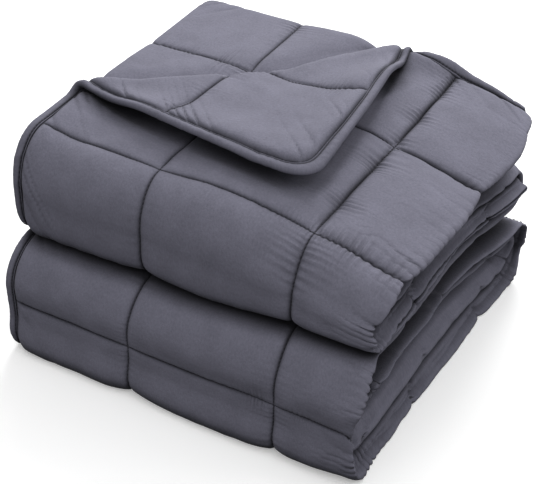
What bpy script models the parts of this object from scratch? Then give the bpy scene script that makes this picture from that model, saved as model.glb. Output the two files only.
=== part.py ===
"""A quilted weighted blanket, folded into a stack with one corner turned down.

Metres, +Z up, origin at the middle of the stack's underside. The front of the
stack, with its two rounded folds, faces -Y; the rows of fold ends are on +X;
the bound side edges are on -X; the free end of the blanket is at the top of +Y.

The quilted panel is cut flat as a slab, scored along the turned corner, and
then every point of it is carried through the same folds that a person makes:
  1. side to side: four layers, back and forth, so that the width is a quarter;
  2. end to end: five sections (top, second, third, bottom, tucked), so that
     the first pair makes the upper roll and the last three the lower roll;
  3. the far left corner of the top layer is turned forward over the top;
  4. the stack settles: it is lower at the front right, and its fold ends on
     the right are uneven.
The edge binding goes through the same folds.
"""
import math

import bmesh
import bpy
import numpy as np

# The flat blanket (across u, along v) and its quilting. It is 1.273 m across,
# which is the length of the path that its four layers take from side to side.
CLOTH_LONG = 1.526
SQUARES_ACROSS = 8
SQUARES_LONG = 10
BORDER_ACROSS = 0.1185
BORDER_LONG = 0.123
CORNER_ROUND = 0.025
PUFF_THICK = 0.0077
SEAM_THICK = 0.0034
SEAM_REACH = 0.016

# The binding, a strip folded over the edge, and the flat flange inside it.
BINDING_WIDE = 0.0105
BINDING_THICK = 0.0048
BINDING_WALL = 0.0009
CLEARANCE = 0.0008
FLANGE_THICK = BINDING_THICK - 2 * (BINDING_WALL + CLEARANCE)

# The folded stack, measured from its front left lower corner.
PITCH = 0.0089
LAYERS = 4
SECTIONS = 5
STACK_HIGH = PITCH * LAYERS * SECTIONS
EDGE_LEFT = 0.0035
FOLD_CENTRE_RIGHT = 0.314
FOLD_CENTRE_LEFT = 0.009
TOP_EDGE_BACK = 0.310
ROLL_CENTRE_BACK = 0.280
UPPER_ROLL_FRONT = 0.024
LOWER_ROLL_RADIUS = 0.036
TUCKED_END_FRONT = 0.042
ORIGIN_X = 0.16256
ORIGIN_Y = 0.15742

# The turned corner: where its fold crosses the stack's left and back edges.
TURN_LEFT = (0.0035, 0.1034)
TURN_BACK = (0.2262, 0.3100)
TURN_RADIUS = 0.008
TURN_BOW = 0.018
TURN_SKEW = 0.11
TURN_LIES = 0.0096
TURN_EASE = 0.05
TURN_EASE_AT = TURN_EASE * np.array((0.3, 0.65, 1.0))
TURN_REACH = 0.26

# How finely the faces are divided: steps in each half turn, and in a plain run.
FOLD_STEPS = 4
ROLL_STEPS = 7
TURN_STEPS = 7
CORNER_STEPS = 4
RUN_STEPS = 4
BOW_STEPS = 6
SHARP_FROM = math.radians(50)
LEAST_STEP = 0.0012

# How the right-hand fold ends have settled. From the bottom up: the height of
# the top of each pair of layers at the front and at the back, and how far that
# pair stands out to the right.
SETTLED = (
    # pair,             front,  back,   out
    ("bottom, outer",   0.0190, 0.0190, 0.000),
    ("bottom, inner",   0.0330, 0.0330, -0.005),
    ("tucked, lower",   0.0490, 0.0480, -0.003),
    ("tucked, upper",   0.0660, 0.0650, -0.005),
    ("third, lower",    0.0830, 0.0800, -0.003),
    ("third, upper",    0.1010, 0.0960, 0.000),
    ("second, lower",   0.1140, 0.1040, -0.006),
    ("second, upper",   0.1280, 0.1130, -0.003),
    ("top, lower",      0.1490, 0.1270, -0.009),
    ("top, upper",      0.1670, 0.1680, 0.001),
)
# Height of the stack along its left side, at the front and at the back.
LEFT_HIGH = (0.1805, 0.1945)
SETTLE_FROM = 0.16
SETTLE_TO = 0.322
STAND_OUT_FROM = 0.25

SLATE = (0.17, 0.175, 0.22, 1.0)
SLATE_EDGE = (0.15, 0.155, 0.195, 1.0)


def smooth(t):
    """An eased step: 0 below 0, 1 above 1, level at both ends."""
    t = np.clip(t, 0.0, 1.0)
    return t * t * (3.0 - 2.0 * t)


# ---- Paths: straight runs and arcs, one after another -----------------------

def advance(run, heading, bend):
    """How far a run at constant bend goes, in its plane."""
    straight = np.abs(bend) < 1e-9
    safe = np.where(straight, 1.0, bend)
    end = heading + bend * run
    ahead = np.where(straight, run * np.cos(heading), (np.sin(end) - np.sin(heading)) / safe)
    aside = np.where(straight, run * np.sin(heading), (np.cos(heading) - np.cos(end)) / safe)
    return ahead, aside


def lay_path(steps, start, heading):
    """Chain (name, length, turn) steps into rows of start length, place, heading and bend."""
    rows = []
    at, here = 0.0, np.array(start, float)
    for _, length, turn in steps:
        bend = turn / length
        rows.append((at, here[0], here[1], heading, bend))
        here = here + np.array(advance(length, heading, bend))
        at += length
        heading += turn
    return np.array(rows), at


def trace(rows, along):
    """Place and heading at each length along a path."""
    index = np.clip(np.searchsorted(rows[:, 0], along, side="right") - 1, 0, len(rows) - 1)
    start, a0, b0, heading, bend = np.moveaxis(rows[index], -1, 0)
    run = along - start
    ahead, aside = advance(run, heading, bend)
    return a0 + ahead, b0 + aside, heading + bend * run


def half_turn(radius):
    """Length of half a turn."""
    return math.pi * radius


SIDE_RUN = FOLD_CENTRE_RIGHT - EDGE_LEFT
MIDDLE_RUN = FOLD_CENTRE_RIGHT - FOLD_CENTRE_LEFT
SIDE_STEPS = (
    ("layer 1", SIDE_RUN, 0.0),
    ("right fold", half_turn(PITCH / 2), math.pi),
    ("layer 2", MIDDLE_RUN, 0.0),
    ("left fold", half_turn(PITCH / 2), -math.pi),
    ("layer 3", MIDDLE_RUN, 0.0),
    ("right fold", half_turn(PITCH / 2), math.pi),
    ("layer 4", SIDE_RUN, 0.0),
)

OUTER_RADIUS = PITCH * (LAYERS - 0.5)
UPPER_CENTRE = UPPER_ROLL_FRONT + PITCH * LAYERS
LOWER_CENTRE = LOWER_ROLL_RADIUS + PITCH / 2
LOWER_UPRIGHT = PITCH * (3 * LAYERS - 1) - 2 * LOWER_ROLL_RADIUS
END_STEPS = (
    ("top", TOP_EDGE_BACK - UPPER_CENTRE, 0.0),
    ("upper roll", half_turn(OUTER_RADIUS), math.pi),
    ("second", ROLL_CENTRE_BACK - UPPER_CENTRE, 0.0),
    ("back fold", half_turn(PITCH / 2), -math.pi),
    ("third", ROLL_CENTRE_BACK - LOWER_CENTRE, 0.0),
    ("lower roll, over", half_turn(LOWER_ROLL_RADIUS) / 2, math.pi / 2),
    ("lower roll, front", LOWER_UPRIGHT, 0.0),
    ("lower roll, under", half_turn(LOWER_ROLL_RADIUS) / 2, math.pi / 2),
    ("bottom", ROLL_CENTRE_BACK - LOWER_CENTRE, 0.0),
    ("back roll", half_turn(OUTER_RADIUS), math.pi),
    ("tucked", ROLL_CENTRE_BACK - TUCKED_END_FRONT, 0.0),
)

SIDE_PATH, SIDE_LONG = lay_path(SIDE_STEPS, (EDGE_LEFT, 0.0), 0.0)
END_PATH, END_LONG = lay_path(END_STEPS, (TOP_EDGE_BACK, STACK_HIGH - PITCH / 2), math.pi)
TOP_RUN = END_STEPS[0][1]
BOTTOM_FROM = END_PATH[8, 0]


# ---- Quilting ----------------------------------------------------------------

def seam_lines(border, squares, total):
    """Where the quilting seams lie between the two borders."""
    return np.linspace(border, total - border, squares + 1)


def ease_from_seams(at, seams):
    """0 on a seam and 1 from SEAM_REACH away from every seam."""
    near = np.min(np.abs(at[..., None] - seams), axis=-1)
    return smooth(near / SEAM_REACH)


def cloth_length(s, w):
    """Length along the cloth where a layer at depth w passes path length s.

    A layer inside a turn has a shorter way round, so it runs ahead. The
    difference is taken up where it can't be seen, in the last two sections.
    """
    _, _, heading = trace(END_PATH, s)
    length = s - w * (heading - math.pi)
    spare = CLOTH_LONG - (END_LONG - w * 2 * math.pi)
    share = np.clip((s - BOTTOM_FROM) / (END_LONG - BOTTOM_FROM), 0.0, 1.0)
    return length + spare * share


def from_edge(u, s):
    """Distance in from the blanket's edge, with its rounded corners."""
    a = np.minimum(u, SIDE_LONG - u)
    b = np.minimum(s, END_LONG - s)
    short_a, short_b = np.maximum(CORNER_ROUND - a, 0.0), np.maximum(CORNER_ROUND - b, 0.0)
    outer = CORNER_ROUND - np.hypot(short_a, short_b)
    return np.where((short_a > 0.0) | (short_b > 0.0), outer, np.minimum(a, b))


def thickness(u, s):
    """Thickness of the quilted panel: full squares, drawn in along every seam."""
    _, w, _ = trace(SIDE_PATH, u)
    v = cloth_length(s, w)
    across = ease_from_seams(u, seam_lines(BORDER_ACROSS, SQUARES_ACROSS, SIDE_LONG))
    along = ease_from_seams(v, seam_lines(BORDER_LONG, SQUARES_LONG, CLOTH_LONG))
    full = SEAM_THICK + (PUFF_THICK - SEAM_THICK) * across * along
    inside = smooth((from_edge(u, s) - BINDING_WIDE) / SEAM_REACH)
    return FLANGE_THICK + (full - FLANGE_THICK) * inside


# ---- Folding -----------------------------------------------------------------

TURN_START = np.array(TURN_LEFT)
TURN_SPAN = float(np.linalg.norm(np.subtract(TURN_BACK, TURN_LEFT)))
TURN_ALONG = np.subtract(TURN_BACK, TURN_LEFT) / TURN_SPAN
TURN_TOWARD = np.array((-TURN_ALONG[1], TURN_ALONG[0]))


def turn_bow(p):
    """The crease bows forward between its ends."""
    return TURN_BOW * np.sin(np.clip(p / TURN_SPAN, 0.0, 1.0) * math.pi)


def to_crease(x, y):
    """Place along the crease, and distance beyond it towards the corner."""
    dx, dy = x - TURN_START[0], y - TURN_START[1]
    p = dx * TURN_ALONG[0] + dy * TURN_ALONG[1]
    return p, dx * TURN_TOWARD[0] + dy * TURN_TOWARD[1] + turn_bow(p)


def from_crease(p, q):
    """The opposite of to_crease."""
    r = q - turn_bow(p)
    return (TURN_START[0] + p * TURN_ALONG[0] + r * TURN_TOWARD[0],
            TURN_START[1] + p * TURN_ALONG[1] + r * TURN_TOWARD[1])


def turn_corner(x, y, n):
    """Roll the part beyond the crease up and over; n is the height in the cloth."""
    p, q = to_crease(x, y)
    angle = np.clip(q / TURN_RADIUS, 0.0, math.pi)
    past = np.maximum(q - math.pi * TURN_RADIUS, 0.0)
    reach = (TURN_RADIUS - n) * np.sin(angle) - past
    lies = (2 * TURN_RADIUS - TURN_LIES) * smooth(past / TURN_EASE)
    rise = TURN_RADIUS - (TURN_RADIUS - n) * np.cos(angle) - lies
    new_x, new_y = from_crease(p + TURN_SKEW * np.maximum(q, 0.0), reach)
    over = q > 0.0
    return np.where(over, new_x, x), np.where(over, new_y, y), np.where(over, rise, n)


def settle(x, y, z):
    """Let the folded stack sink: uneven fold ends, and a top that isn't level."""
    level = np.linspace(0.0, STACK_HIGH, len(SETTLED) + 1)
    depth = y / TOP_EDGE_BACK
    left = z / STACK_HIGH * (LEFT_HIGH[0] + (LEFT_HIGH[1] - LEFT_HIGH[0]) * depth)
    front, back = (np.interp(z, level, [0.0] + [row[k] for row in SETTLED]) for k in (1, 2))
    right = front + (back - front) * depth + np.maximum(z - STACK_HIGH, 0.0)
    share = smooth((x - SETTLE_FROM) / (SETTLE_TO - SETTLE_FROM))
    out = np.interp(z, (level[1:] + level[:-1]) / 2, [row[3] for row in SETTLED])
    stand = smooth((x - STAND_OUT_FROM) / (SETTLE_TO - STAND_OUT_FROM))
    return x + out * stand, y, left + (right - left) * share


def fold(u, s, n):
    """Carry a point of the flat cloth, at height n in its thickness, into the stack."""
    x, w, side_heading = trace(SIDE_PATH, u)
    x = x + n * np.sin(side_heading)
    w = w - n * np.cos(side_heading)
    y, z, end_heading = trace(END_PATH, s)
    y = y - w * np.sin(end_heading)
    z = z + w * np.cos(end_heading)
    on_top = (u < SIDE_RUN) & (s < TOP_RUN)
    tx, ty, rise = turn_corner(x, y, n)
    turned = on_top & (to_crease(x, y)[1] > 0.0)
    x = np.where(turned, tx, x)
    y = np.where(turned, ty, y)
    z = np.where(turned, STACK_HIGH - PITCH / 2 + rise, z)
    z = z - (PITCH - PUFF_THICK) / 2
    x, y, z = settle(x, y, z)
    return np.stack((x - ORIGIN_X, y - ORIGIN_Y, z), axis=-1)


# ---- Where the flat cloth is divided ------------------------------------------

def edge_stations(total):
    """Stations at the flange and where the puff begins, at both ends."""
    inner = (BINDING_WIDE, BINDING_WIDE + SEAM_REACH)
    return [0.0, *inner, total - inner[1], total - inner[0], total]


def beside_seams(seams):
    """A station on each seam and one on each side of it."""
    return np.concatenate([(seam - SEAM_REACH, seam, seam + SEAM_REACH) for seam in seams])


def turn_stations(path, steps, half_turn_steps):
    """Evenly spaced stations in every turn of a path."""
    stations = []
    for row, (_, length, turn) in zip(path, steps):
        count = max(1, round(half_turn_steps * abs(turn) / math.pi))
        if turn or length < CORNER_ROUND * 2:
            stations.extend(row[0] + length * np.linspace(0.0, 1.0, count + 1))
    return stations


def across_stations():
    """Stations across the cloth. All four layers are divided at the same places in x."""
    stations = edge_stations(SIDE_LONG) + turn_stations(SIDE_PATH, SIDE_STEPS, FOLD_STEPS)
    seams = seam_lines(BORDER_ACROSS, SQUARES_ACROSS, SIDE_LONG)
    columns = EDGE_LEFT + beside_seams(seams[seams < SIDE_RUN])
    for row, (_, length, turn) in zip(SIDE_PATH, SIDE_STEPS):
        if not turn:
            stations.extend(row[0] + np.abs(columns - row[1]))
    return tidy_stations(stations)


def along_stations():
    """Stations along the cloth: beside the seams where they show, evenly where they don't."""
    stations = edge_stations(END_LONG) + turn_stations(END_PATH, END_STEPS, ROLL_STEPS)
    seams = seam_lines(BORDER_LONG, SQUARES_LONG, CLOTH_LONG)
    for row, (name, length, turn) in zip(END_PATH, END_STEPS):
        end = row[0] + length
        if name in ("top", "bottom"):
            inside = seams[(seams > row[0] + SEAM_REACH) & (seams < end - SEAM_REACH / 2)]
            stations.extend(beside_seams(inside))
        elif not turn:
            stations.extend(np.linspace(row[0], end, RUN_STEPS + 1))
    return tidy_stations(stations)


def tidy_stations(stations):
    """Sorted stations, without near doubles."""
    stations = np.unique(np.round(stations, 5))
    keep = np.concatenate(([True], np.diff(stations) > LEAST_STEP))
    return stations[keep]


def round_corners(u, s, inset):
    """Pull a flat sheet's square corners in to quarter circles, and its edge in by a little."""
    def out_from_centre(at, total):
        beyond = np.maximum(CORNER_ROUND - at, at - (total - CORNER_ROUND))
        return np.clip(beyond / CORNER_ROUND, 0.0, 1.0)

    def placed(at, total, out, other):
        reach = out * np.sqrt(1.0 - other * other / 2.0) * (CORNER_ROUND - inset)
        drawn = np.where(at < total / 2, CORNER_ROUND - reach, total - CORNER_ROUND + reach)
        return np.where(out > 0.0, drawn, at)

    a, b = out_from_centre(u, SIDE_LONG), out_from_centre(s, END_LONG)
    return placed(u, SIDE_LONG, a, b), placed(s, END_LONG, b, a)


# ---- The pieces ------------------------------------------------------------------

def material(name, colour, roughness):
    made = bpy.data.materials.new(name)
    made.use_nodes = True
    shader = made.node_tree.nodes["Principled BSDF"]
    shader.inputs["Base Color"].default_value = colour
    shader.inputs["Roughness"].default_value = roughness
    shader.inputs["Metallic"].default_value = 0.0
    return made


def points_of(mesh):
    return np.array([vertex.co[:] for vertex in mesh.verts])


def move_points(mesh, places):
    for vertex, place in zip(mesh.verts, places):
        vertex.co = place


def finish(name, mesh, surface, collection):
    """Turn a worked mesh into an object with its material."""
    bmesh.ops.recalc_face_normals(mesh, faces=mesh.faces)
    data = bpy.data.meshes.new(name)
    mesh.to_mesh(data)
    mesh.free()
    data.materials.append(surface)
    data.shade_smooth()
    data.set_sharp_from_angle(angle=SHARP_FROM)
    made = bpy.data.objects.new(name, data)
    collection.objects.link(made)
    return made


def flat_slab(across, along):
    """A closed slab, one unit thick, divided at the given stations."""
    slab = bmesh.new()
    bmesh.ops.create_grid(slab, x_segments=len(across) - 1, y_segments=len(along) - 1, size=0.5)
    grown = bmesh.ops.extrude_face_region(slab, geom=slab.faces[:])
    for item in grown["geom"]:
        if isinstance(item, bmesh.types.BMVert):
            item.co.z = 1.0
    places = points_of(slab)
    places[:, 0] = np.interp(places[:, 0] + 0.5, np.linspace(0, 1, len(across)), across)
    places[:, 1] = np.interp(places[:, 1] + 0.5, np.linspace(0, 1, len(along)), along)
    move_points(slab, places)
    return slab


def score(slab, faces, place, across):
    """Divide some faces along a plane."""
    edges = {edge for face in faces for edge in face.edges}
    points = {vertex for face in faces for vertex in face.verts}
    bmesh.ops.bisect_plane(slab, geom=[*points, *edges, *faces], dist=2e-4,
                           plane_co=place, plane_no=across)


def score_corner(slab):
    """Cut the slab's faces along lines that follow the bowed crease."""
    places = points_of(slab)
    p, q = to_crease(EDGE_LEFT + places[:, 0], TOP_EDGE_BACK - places[:, 1])
    move_points(slab, np.stack((p, q, places[:, 2]), axis=-1))
    rolled = math.pi * TURN_RADIUS * np.linspace(0.0, 1.0, TURN_STEPS + 1)
    for cut in (*rolled, *(rolled[-1] + TURN_EASE_AT)):
        score(slab, slab.faces[:], (0.0, cut, 0.0), (0.0, 1.0, 0.0))
    for cut in TURN_SPAN * np.arange(1, BOW_STEPS) / BOW_STEPS:
        near = [face for face in slab.faces if min(v.co.y for v in face.verts) > -TURN_EASE / 2]
        score(slab, near, (cut, 0.0, 0.0), (1.0, 0.0, 0.0))
    places = points_of(slab)
    x, y = from_crease(places[:, 0], places[:, 1])
    move_points(slab, np.stack((x - EDGE_LEFT, TOP_EDGE_BACK - y, places[:, 2]), axis=-1))
    bmesh.ops.triangulate(slab, faces=slab.faces[:])


def quilted_panel(collection):
    slab = flat_slab(across_stations(), along_stations())
    score_corner(slab)
    places = points_of(slab)
    u, s = round_corners(places[:, 0], places[:, 1], BINDING_WALL * 2 + CLEARANCE)
    n = (places[:, 2] - 0.5) * thickness(u, s)
    move_points(slab, fold(u, s, n))
    return finish("quilt", slab, material("slate quilting", SLATE, 0.85), collection)


def binding_profile():
    """Section of the binding: distance in from the edge, and height. Its back edge is rounded."""
    half = BINDING_THICK / 2
    inner = half - BINDING_WALL
    wide = BINDING_WIDE
    upper = ((wide, inner), (wide, half * 0.92), (wide * 0.25, half), (0.0, half * 0.45))
    return (*upper, *((m, -n) for m, n in reversed(upper)),
            (BINDING_WALL * 2, -inner), (BINDING_WALL * 2, inner))


def crease_stations():
    """Lengths from the turned corner, on its back and left edges, that need close stations."""
    fine = np.linspace(0.0, TURN_REACH, 521)
    rolled = math.pi * TURN_RADIUS * np.linspace(-0.1, 1.2, 3 * TURN_STEPS + 1)
    wanted = np.concatenate((rolled, rolled[-1] + TURN_EASE_AT))
    on_left = to_crease(np.full_like(fine, EDGE_LEFT), TOP_EDGE_BACK - fine)[1]
    on_back = to_crease(EDGE_LEFT + fine, np.full_like(fine, TOP_EDGE_BACK))[1]
    bowed = np.linspace(CORNER_ROUND * 1.6, TURN_SPAN / 2, BOW_STEPS)
    return (np.concatenate((bowed, np.interp(wanted, on_back[::-1], fine[::-1]))),
            np.concatenate((bowed, np.interp(wanted, on_left[::-1], fine[::-1]))))


def edge_route():
    """The blanket's edge: places and inward directions, once round, with rounded corners."""
    def between_corners(stations, total):
        stations = tidy_stations(stations)
        return stations[(stations > CORNER_ROUND * 1.1) & (stations < total - CORNER_ROUND * 1.1)]

    on_back, on_left = crease_stations()
    r = CORNER_ROUND
    top_u = between_corners(np.concatenate((across_stations(), on_back)), SIDE_LONG)
    end_u = between_corners(across_stations(), SIDE_LONG)[::-1]
    inner_s = between_corners(along_stations(), END_LONG)
    outer_s = between_corners(np.concatenate((along_stations(), on_left)), END_LONG)[::-1]
    sides = (
        (np.stack((top_u, 0 * top_u), -1), (0.0, 1.0), (SIDE_LONG - r, r), -90),
        (np.stack((0 * inner_s + SIDE_LONG, inner_s), -1), (-1.0, 0.0), (SIDE_LONG - r, END_LONG - r), 0),
        (np.stack((end_u, 0 * end_u + END_LONG), -1), (0.0, -1.0), (r, END_LONG - r), 90),
        (np.stack((0 * outer_s, outer_s), -1), (1.0, 0.0), (r, r), 180),
    )
    places, inward = [], []
    for run, facing, centre, first in sides:
        places.append(run)
        inward.append(np.tile(facing, (len(run), 1)))
        angle = np.radians(np.linspace(first, first + 90, CORNER_STEPS + 1))
        spoke = np.stack((np.cos(angle), np.sin(angle)), -1)
        places.append(np.array(centre) + r * spoke)
        inward.append(-spoke)
    return np.concatenate(places), np.concatenate(inward)


def edge_binding(collection):
    places, inward = edge_route()
    profile = np.array(binding_profile())
    ring = len(profile)
    flat = places[:, None, :] + inward[:, None, :] * profile[None, :, :1]
    heights = np.broadcast_to(profile[None, :, 1], flat.shape[:2])
    points = fold(flat[..., 0], flat[..., 1], heights).reshape(-1, 3)
    strip = bmesh.new()
    vertices = [strip.verts.new(point) for point in points]
    count = len(places)
    for i in range(count):
        for k in range(ring):
            here, ahead = i * ring, (i + 1) % count * ring
            beside = (k + 1) % ring
            strip.faces.new((vertices[here + k], vertices[here + beside],
                             vertices[ahead + beside], vertices[ahead + k]))
    bmesh.ops.triangulate(strip, faces=strip.faces[:])
    return finish("binding", strip, material("slate binding", SLATE_EDGE, 0.8), collection)


def main():
    for old in list(bpy.data.objects):
        bpy.data.objects.remove(old, do_unlink=True)
    collection = bpy.data.collections.new("weighted blanket")
    bpy.context.scene.collection.children.link(collection)
    quilted_panel(collection)
    edge_binding(collection)


main()
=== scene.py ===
# %% [markdown]
# # A folded, quilted weighted blanket
#
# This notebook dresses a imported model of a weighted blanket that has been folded
# into a stack, with one corner turned down over the top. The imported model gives
# the frame: where the cloth is, how big it is and what it rests on. The cells
# below make the surface that the eye sees.
#
# Every piece of cloth here is worked out the same way. A point on the flat
# blanket has two coordinates, u across it and s along it, and a height n in the
# cloth's thickness. One function, `fold`, carries such points into the stack, so
# quilting, puckers and stitches are all planned on the flat blanket, as a sewer
# would, and then folded with it.

# %% Load the frame
import math

import bpy
import numpy as np
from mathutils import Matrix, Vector


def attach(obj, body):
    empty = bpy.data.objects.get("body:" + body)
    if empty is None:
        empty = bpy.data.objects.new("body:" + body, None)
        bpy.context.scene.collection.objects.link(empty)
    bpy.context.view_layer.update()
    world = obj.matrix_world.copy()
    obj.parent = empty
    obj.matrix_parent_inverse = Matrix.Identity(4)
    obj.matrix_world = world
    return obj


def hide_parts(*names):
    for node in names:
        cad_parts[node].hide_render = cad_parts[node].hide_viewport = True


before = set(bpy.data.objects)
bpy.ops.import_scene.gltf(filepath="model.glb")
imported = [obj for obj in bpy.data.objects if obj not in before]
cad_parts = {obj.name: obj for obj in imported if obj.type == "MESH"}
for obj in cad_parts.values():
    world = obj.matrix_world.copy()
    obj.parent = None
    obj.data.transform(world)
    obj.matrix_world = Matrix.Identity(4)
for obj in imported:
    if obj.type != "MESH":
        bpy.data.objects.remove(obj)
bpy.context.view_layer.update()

# %% [markdown]
# ## Sizes of the flat blanket
#
# The real blanket is a throw of about 127 by 153 cm. Two faces of brushed cloth
# are sewn together in squares, and each square holds beads and a little wadding.
# A strip of the same cloth binds the edge.

# %% Flat sizes
CLOTH_LONG = 1.526
SQUARES_ACROSS = 8
SQUARES_LONG = 10
BORDER_ACROSS = 0.1185
BORDER_LONG = 0.123
CORNER_ROUND = 0.025
BINDING_WIDE = 0.0088
BINDING_THICK = 0.0058
EDGE_INSET = 0.0026
FLANGE_THICK = 0.0016
print(f"{SQUARES_ACROSS * SQUARES_LONG} squares and a border of {1000 * BORDER_ACROSS:.0f} mm")

# %% [markdown]
# ## Sizes of the folded stack
#
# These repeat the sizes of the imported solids, so that the visible cloth lies
# where the solid cloth lies. They are measured from the stack's front left
# corner at floor level, and `ORIGIN` moves them to the frame's own origin.

# %% Folded sizes
PITCH = 0.0089
LAYERS = 4
STACK_HIGH = PITCH * LAYERS * 5
PUFF_THICK = 0.0077
EDGE_LEFT = 0.0035
FOLD_RIGHT = 0.314
FOLD_LEFT = 0.009
TOP_EDGE_BACK = 0.310
ROLL_CENTRE_BACK = 0.280
UPPER_ROLL_FRONT = 0.024
LOWER_ROLL_RADIUS = 0.036
TUCKED_END_FRONT = 0.042
TOP_MIDDLE = STACK_HIGH - PITCH / 2
ORIGIN = np.array((0.16256, 0.15742, 0.0))
print(f"the unsettled stack is {1000 * STACK_HIGH:.0f} mm high")

# %% [markdown]
# ## Eased steps
#
# No bend in cloth starts at a hard line. Each bend below is scaled by a share
# that goes from 0 to 1 in an eased step. Its zone is a pair of numbers: where the
# step starts, or where it ends if the share fades, and the distance it takes.

# %% Shares between 0 and 1
def smooth(t):
    """An eased step from 0 to 1: three t squared less two t cubed, with t held in 0 to 1."""
    t = np.clip(t, 0.0, 1.0)
    return t * t * (3.0 - 2.0 * t)


def grows(at, start, over):
    """0 up to `start`, and 1 from `start` plus `over` on."""
    return smooth((at - start) / over)


def fades(at, end, over):
    """1 up to `end` less `over`, and 0 from `end` on."""
    return smooth((end - at) / over)


def at_least(least, share):
    """A share of 0 to 1 brought into `least` to 1: least plus what is left times the share."""
    return least + (1.0 - least) * share


# %% [markdown]
# ## Irregularity
#
# Real cloth is never even. `ripple` is a smooth random line and `rumple` a smooth
# random surface: random numbers on an even grid, joined by eased steps. They are
# seeded, so the blanket is the same each time.

# %% Smooth random lines and surfaces
RIPPLE_KNOTS, RIPPLE_FROM = 4096, 512.0
RUMPLE_KNOTS, RUMPLE_FROM = 257, 40.0


def ripple(at, size, seed):
    """Random heights from -1 to 1 every `size`, joined by eased steps."""
    knots = np.random.default_rng(seed).uniform(-1.0, 1.0, RIPPLE_KNOTS)
    place = at / size + RIPPLE_FROM
    low = np.floor(place).astype(int) % (RIPPLE_KNOTS - 1)
    return knots[low] + (knots[low + 1] - knots[low]) * smooth(place - np.floor(place))


def rumple(a, b, size, seed):
    """Random heights on a square grid of pitch `size`, joined by eased steps both ways."""
    knots = np.random.default_rng(seed).uniform(-1.0, 1.0, (RUMPLE_KNOTS, RUMPLE_KNOTS))
    i, j = a / size + RUMPLE_FROM, b / size + RUMPLE_FROM
    i0, j0 = (np.floor(at).astype(int) % (RUMPLE_KNOTS - 1) for at in (i, j))
    fi, fj = smooth(i - np.floor(i)), smooth(j - np.floor(j))
    near = knots[i0, j0] + (knots[i0 + 1, j0] - knots[i0, j0]) * fi
    far = knots[i0, j0 + 1] + (knots[i0 + 1, j0 + 1] - knots[i0, j0 + 1]) * fi
    return near + (far - near) * fj


def uneven(at, mean, swing, size, seed):
    """A quality that wanders about its mean: the mean plus the swing times a ripple."""
    return mean + swing * ripple(at, size, seed)


# %% [markdown]
# ## Paths
#
# A fold seen from its end is a line made of straight runs and arcs. Each is a row
# with a length and the angle that it turns through. Chaining the rows gives the
# place and heading at any length along the path, with no drawing by hand.

# %% Chain runs and arcs into a path
def advance(run, heading, bend):
    """Along a run of constant bend: the integral of the heading's cosine and sine."""
    straight = np.abs(bend) < 1e-9
    safe = np.where(straight, 1.0, bend)
    end = heading + bend * run
    ahead = np.where(straight, run * np.cos(heading), (np.sin(end) - np.sin(heading)) / safe)
    aside = np.where(straight, run * np.sin(heading), (np.cos(heading) - np.cos(end)) / safe)
    return ahead, aside


def lay_path(steps, start, heading):
    """Rows of start length, place, heading and bend, and the whole length."""
    rows, at, here = [], 0.0, np.array(start, float)
    for length, turn in steps:
        bend = turn / length
        rows.append((at, here[0], here[1], heading, bend))
        here = here + np.array(advance(length, heading, bend))
        at, heading = at + length, heading + turn
    return np.array(rows), at


def trace(rows, along):
    """Place and heading at each length along a path."""
    index = np.clip(np.searchsorted(rows[:, 0], along, side="right") - 1, 0, len(rows) - 1)
    start, a0, b0, heading, bend = np.moveaxis(rows[index], -1, 0)
    run = along - start
    ahead, aside = advance(run, heading, bend)
    return a0 + ahead, b0 + aside, heading + bend * run


# %% [markdown]
# ## The two folds
#
# The blanket is folded side to side into four layers, then end to end into five
# sections: top, second, third, bottom, and one tucked between the last two. The
# first turn makes the upper roll, and the third makes the deeper lower roll.
# `HALF` is half a turn. Heavy cloth doesn't keep such plain arcs, so two small
# bends follow: the right-hand folds draw back into rounded noses, and the fronts
# of the rolls sag.

# %% Fold side to side, then end to end
HALF = math.pi
SIDE_RUN = FOLD_RIGHT - EDGE_LEFT
MIDDLE_RUN = FOLD_RIGHT - FOLD_LEFT
TIGHT = HALF * PITCH / 2
SIDE_STEPS = ((SIDE_RUN, 0.0), (TIGHT, HALF), (MIDDLE_RUN, 0.0), (TIGHT, -HALF),
              (MIDDLE_RUN, 0.0), (TIGHT, HALF), (SIDE_RUN, 0.0))

OUTER_RADIUS = PITCH * (LAYERS - 0.5)
UPPER_CENTRE = UPPER_ROLL_FRONT + PITCH * LAYERS
LOWER_CENTRE = LOWER_ROLL_RADIUS + PITCH / 2
LOWER_UPRIGHT = PITCH * (3 * LAYERS - 1) - 2 * LOWER_ROLL_RADIUS
END_STEPS = ((TOP_EDGE_BACK - UPPER_CENTRE, 0.0), (HALF * OUTER_RADIUS, HALF),
             (ROLL_CENTRE_BACK - UPPER_CENTRE, 0.0), (TIGHT, -HALF),
             (ROLL_CENTRE_BACK - LOWER_CENTRE, 0.0), (HALF * LOWER_ROLL_RADIUS / 2, HALF / 2),
             (LOWER_UPRIGHT, 0.0), (HALF * LOWER_ROLL_RADIUS / 2, HALF / 2),
             (ROLL_CENTRE_BACK - LOWER_CENTRE, 0.0), (HALF * OUTER_RADIUS, HALF),
             (ROLL_CENTRE_BACK - TUCKED_END_FRONT, 0.0))
NOSE, NOSE_FROM = 0.011, 0.045
TAPER, TAPER_FROM = 0.40, 0.032
UPPER_SAG, LOWER_SAG = 0.20, 0.33
FIRMER, FIRMER_ZONE = 0.4, (0.25, 0.06)
UPPER_FOLD, BETWEEN_FOLDS, LOWER_FOLD = (PITCH * k for k in (-0.5, -1.5, -2.5))
SIDE_PATH, SIDE_LONG = lay_path(SIDE_STEPS, (EDGE_LEFT, 0.0), 0.0)
END_PATH, END_LONG = lay_path(END_STEPS, (TOP_EDGE_BACK, TOP_MIDDLE), HALF)
LAYER_2, LEFT_TURN, LAYER_3, RIGHT_TURN, LAYER_4 = SIDE_PATH[2:, 0]
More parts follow.
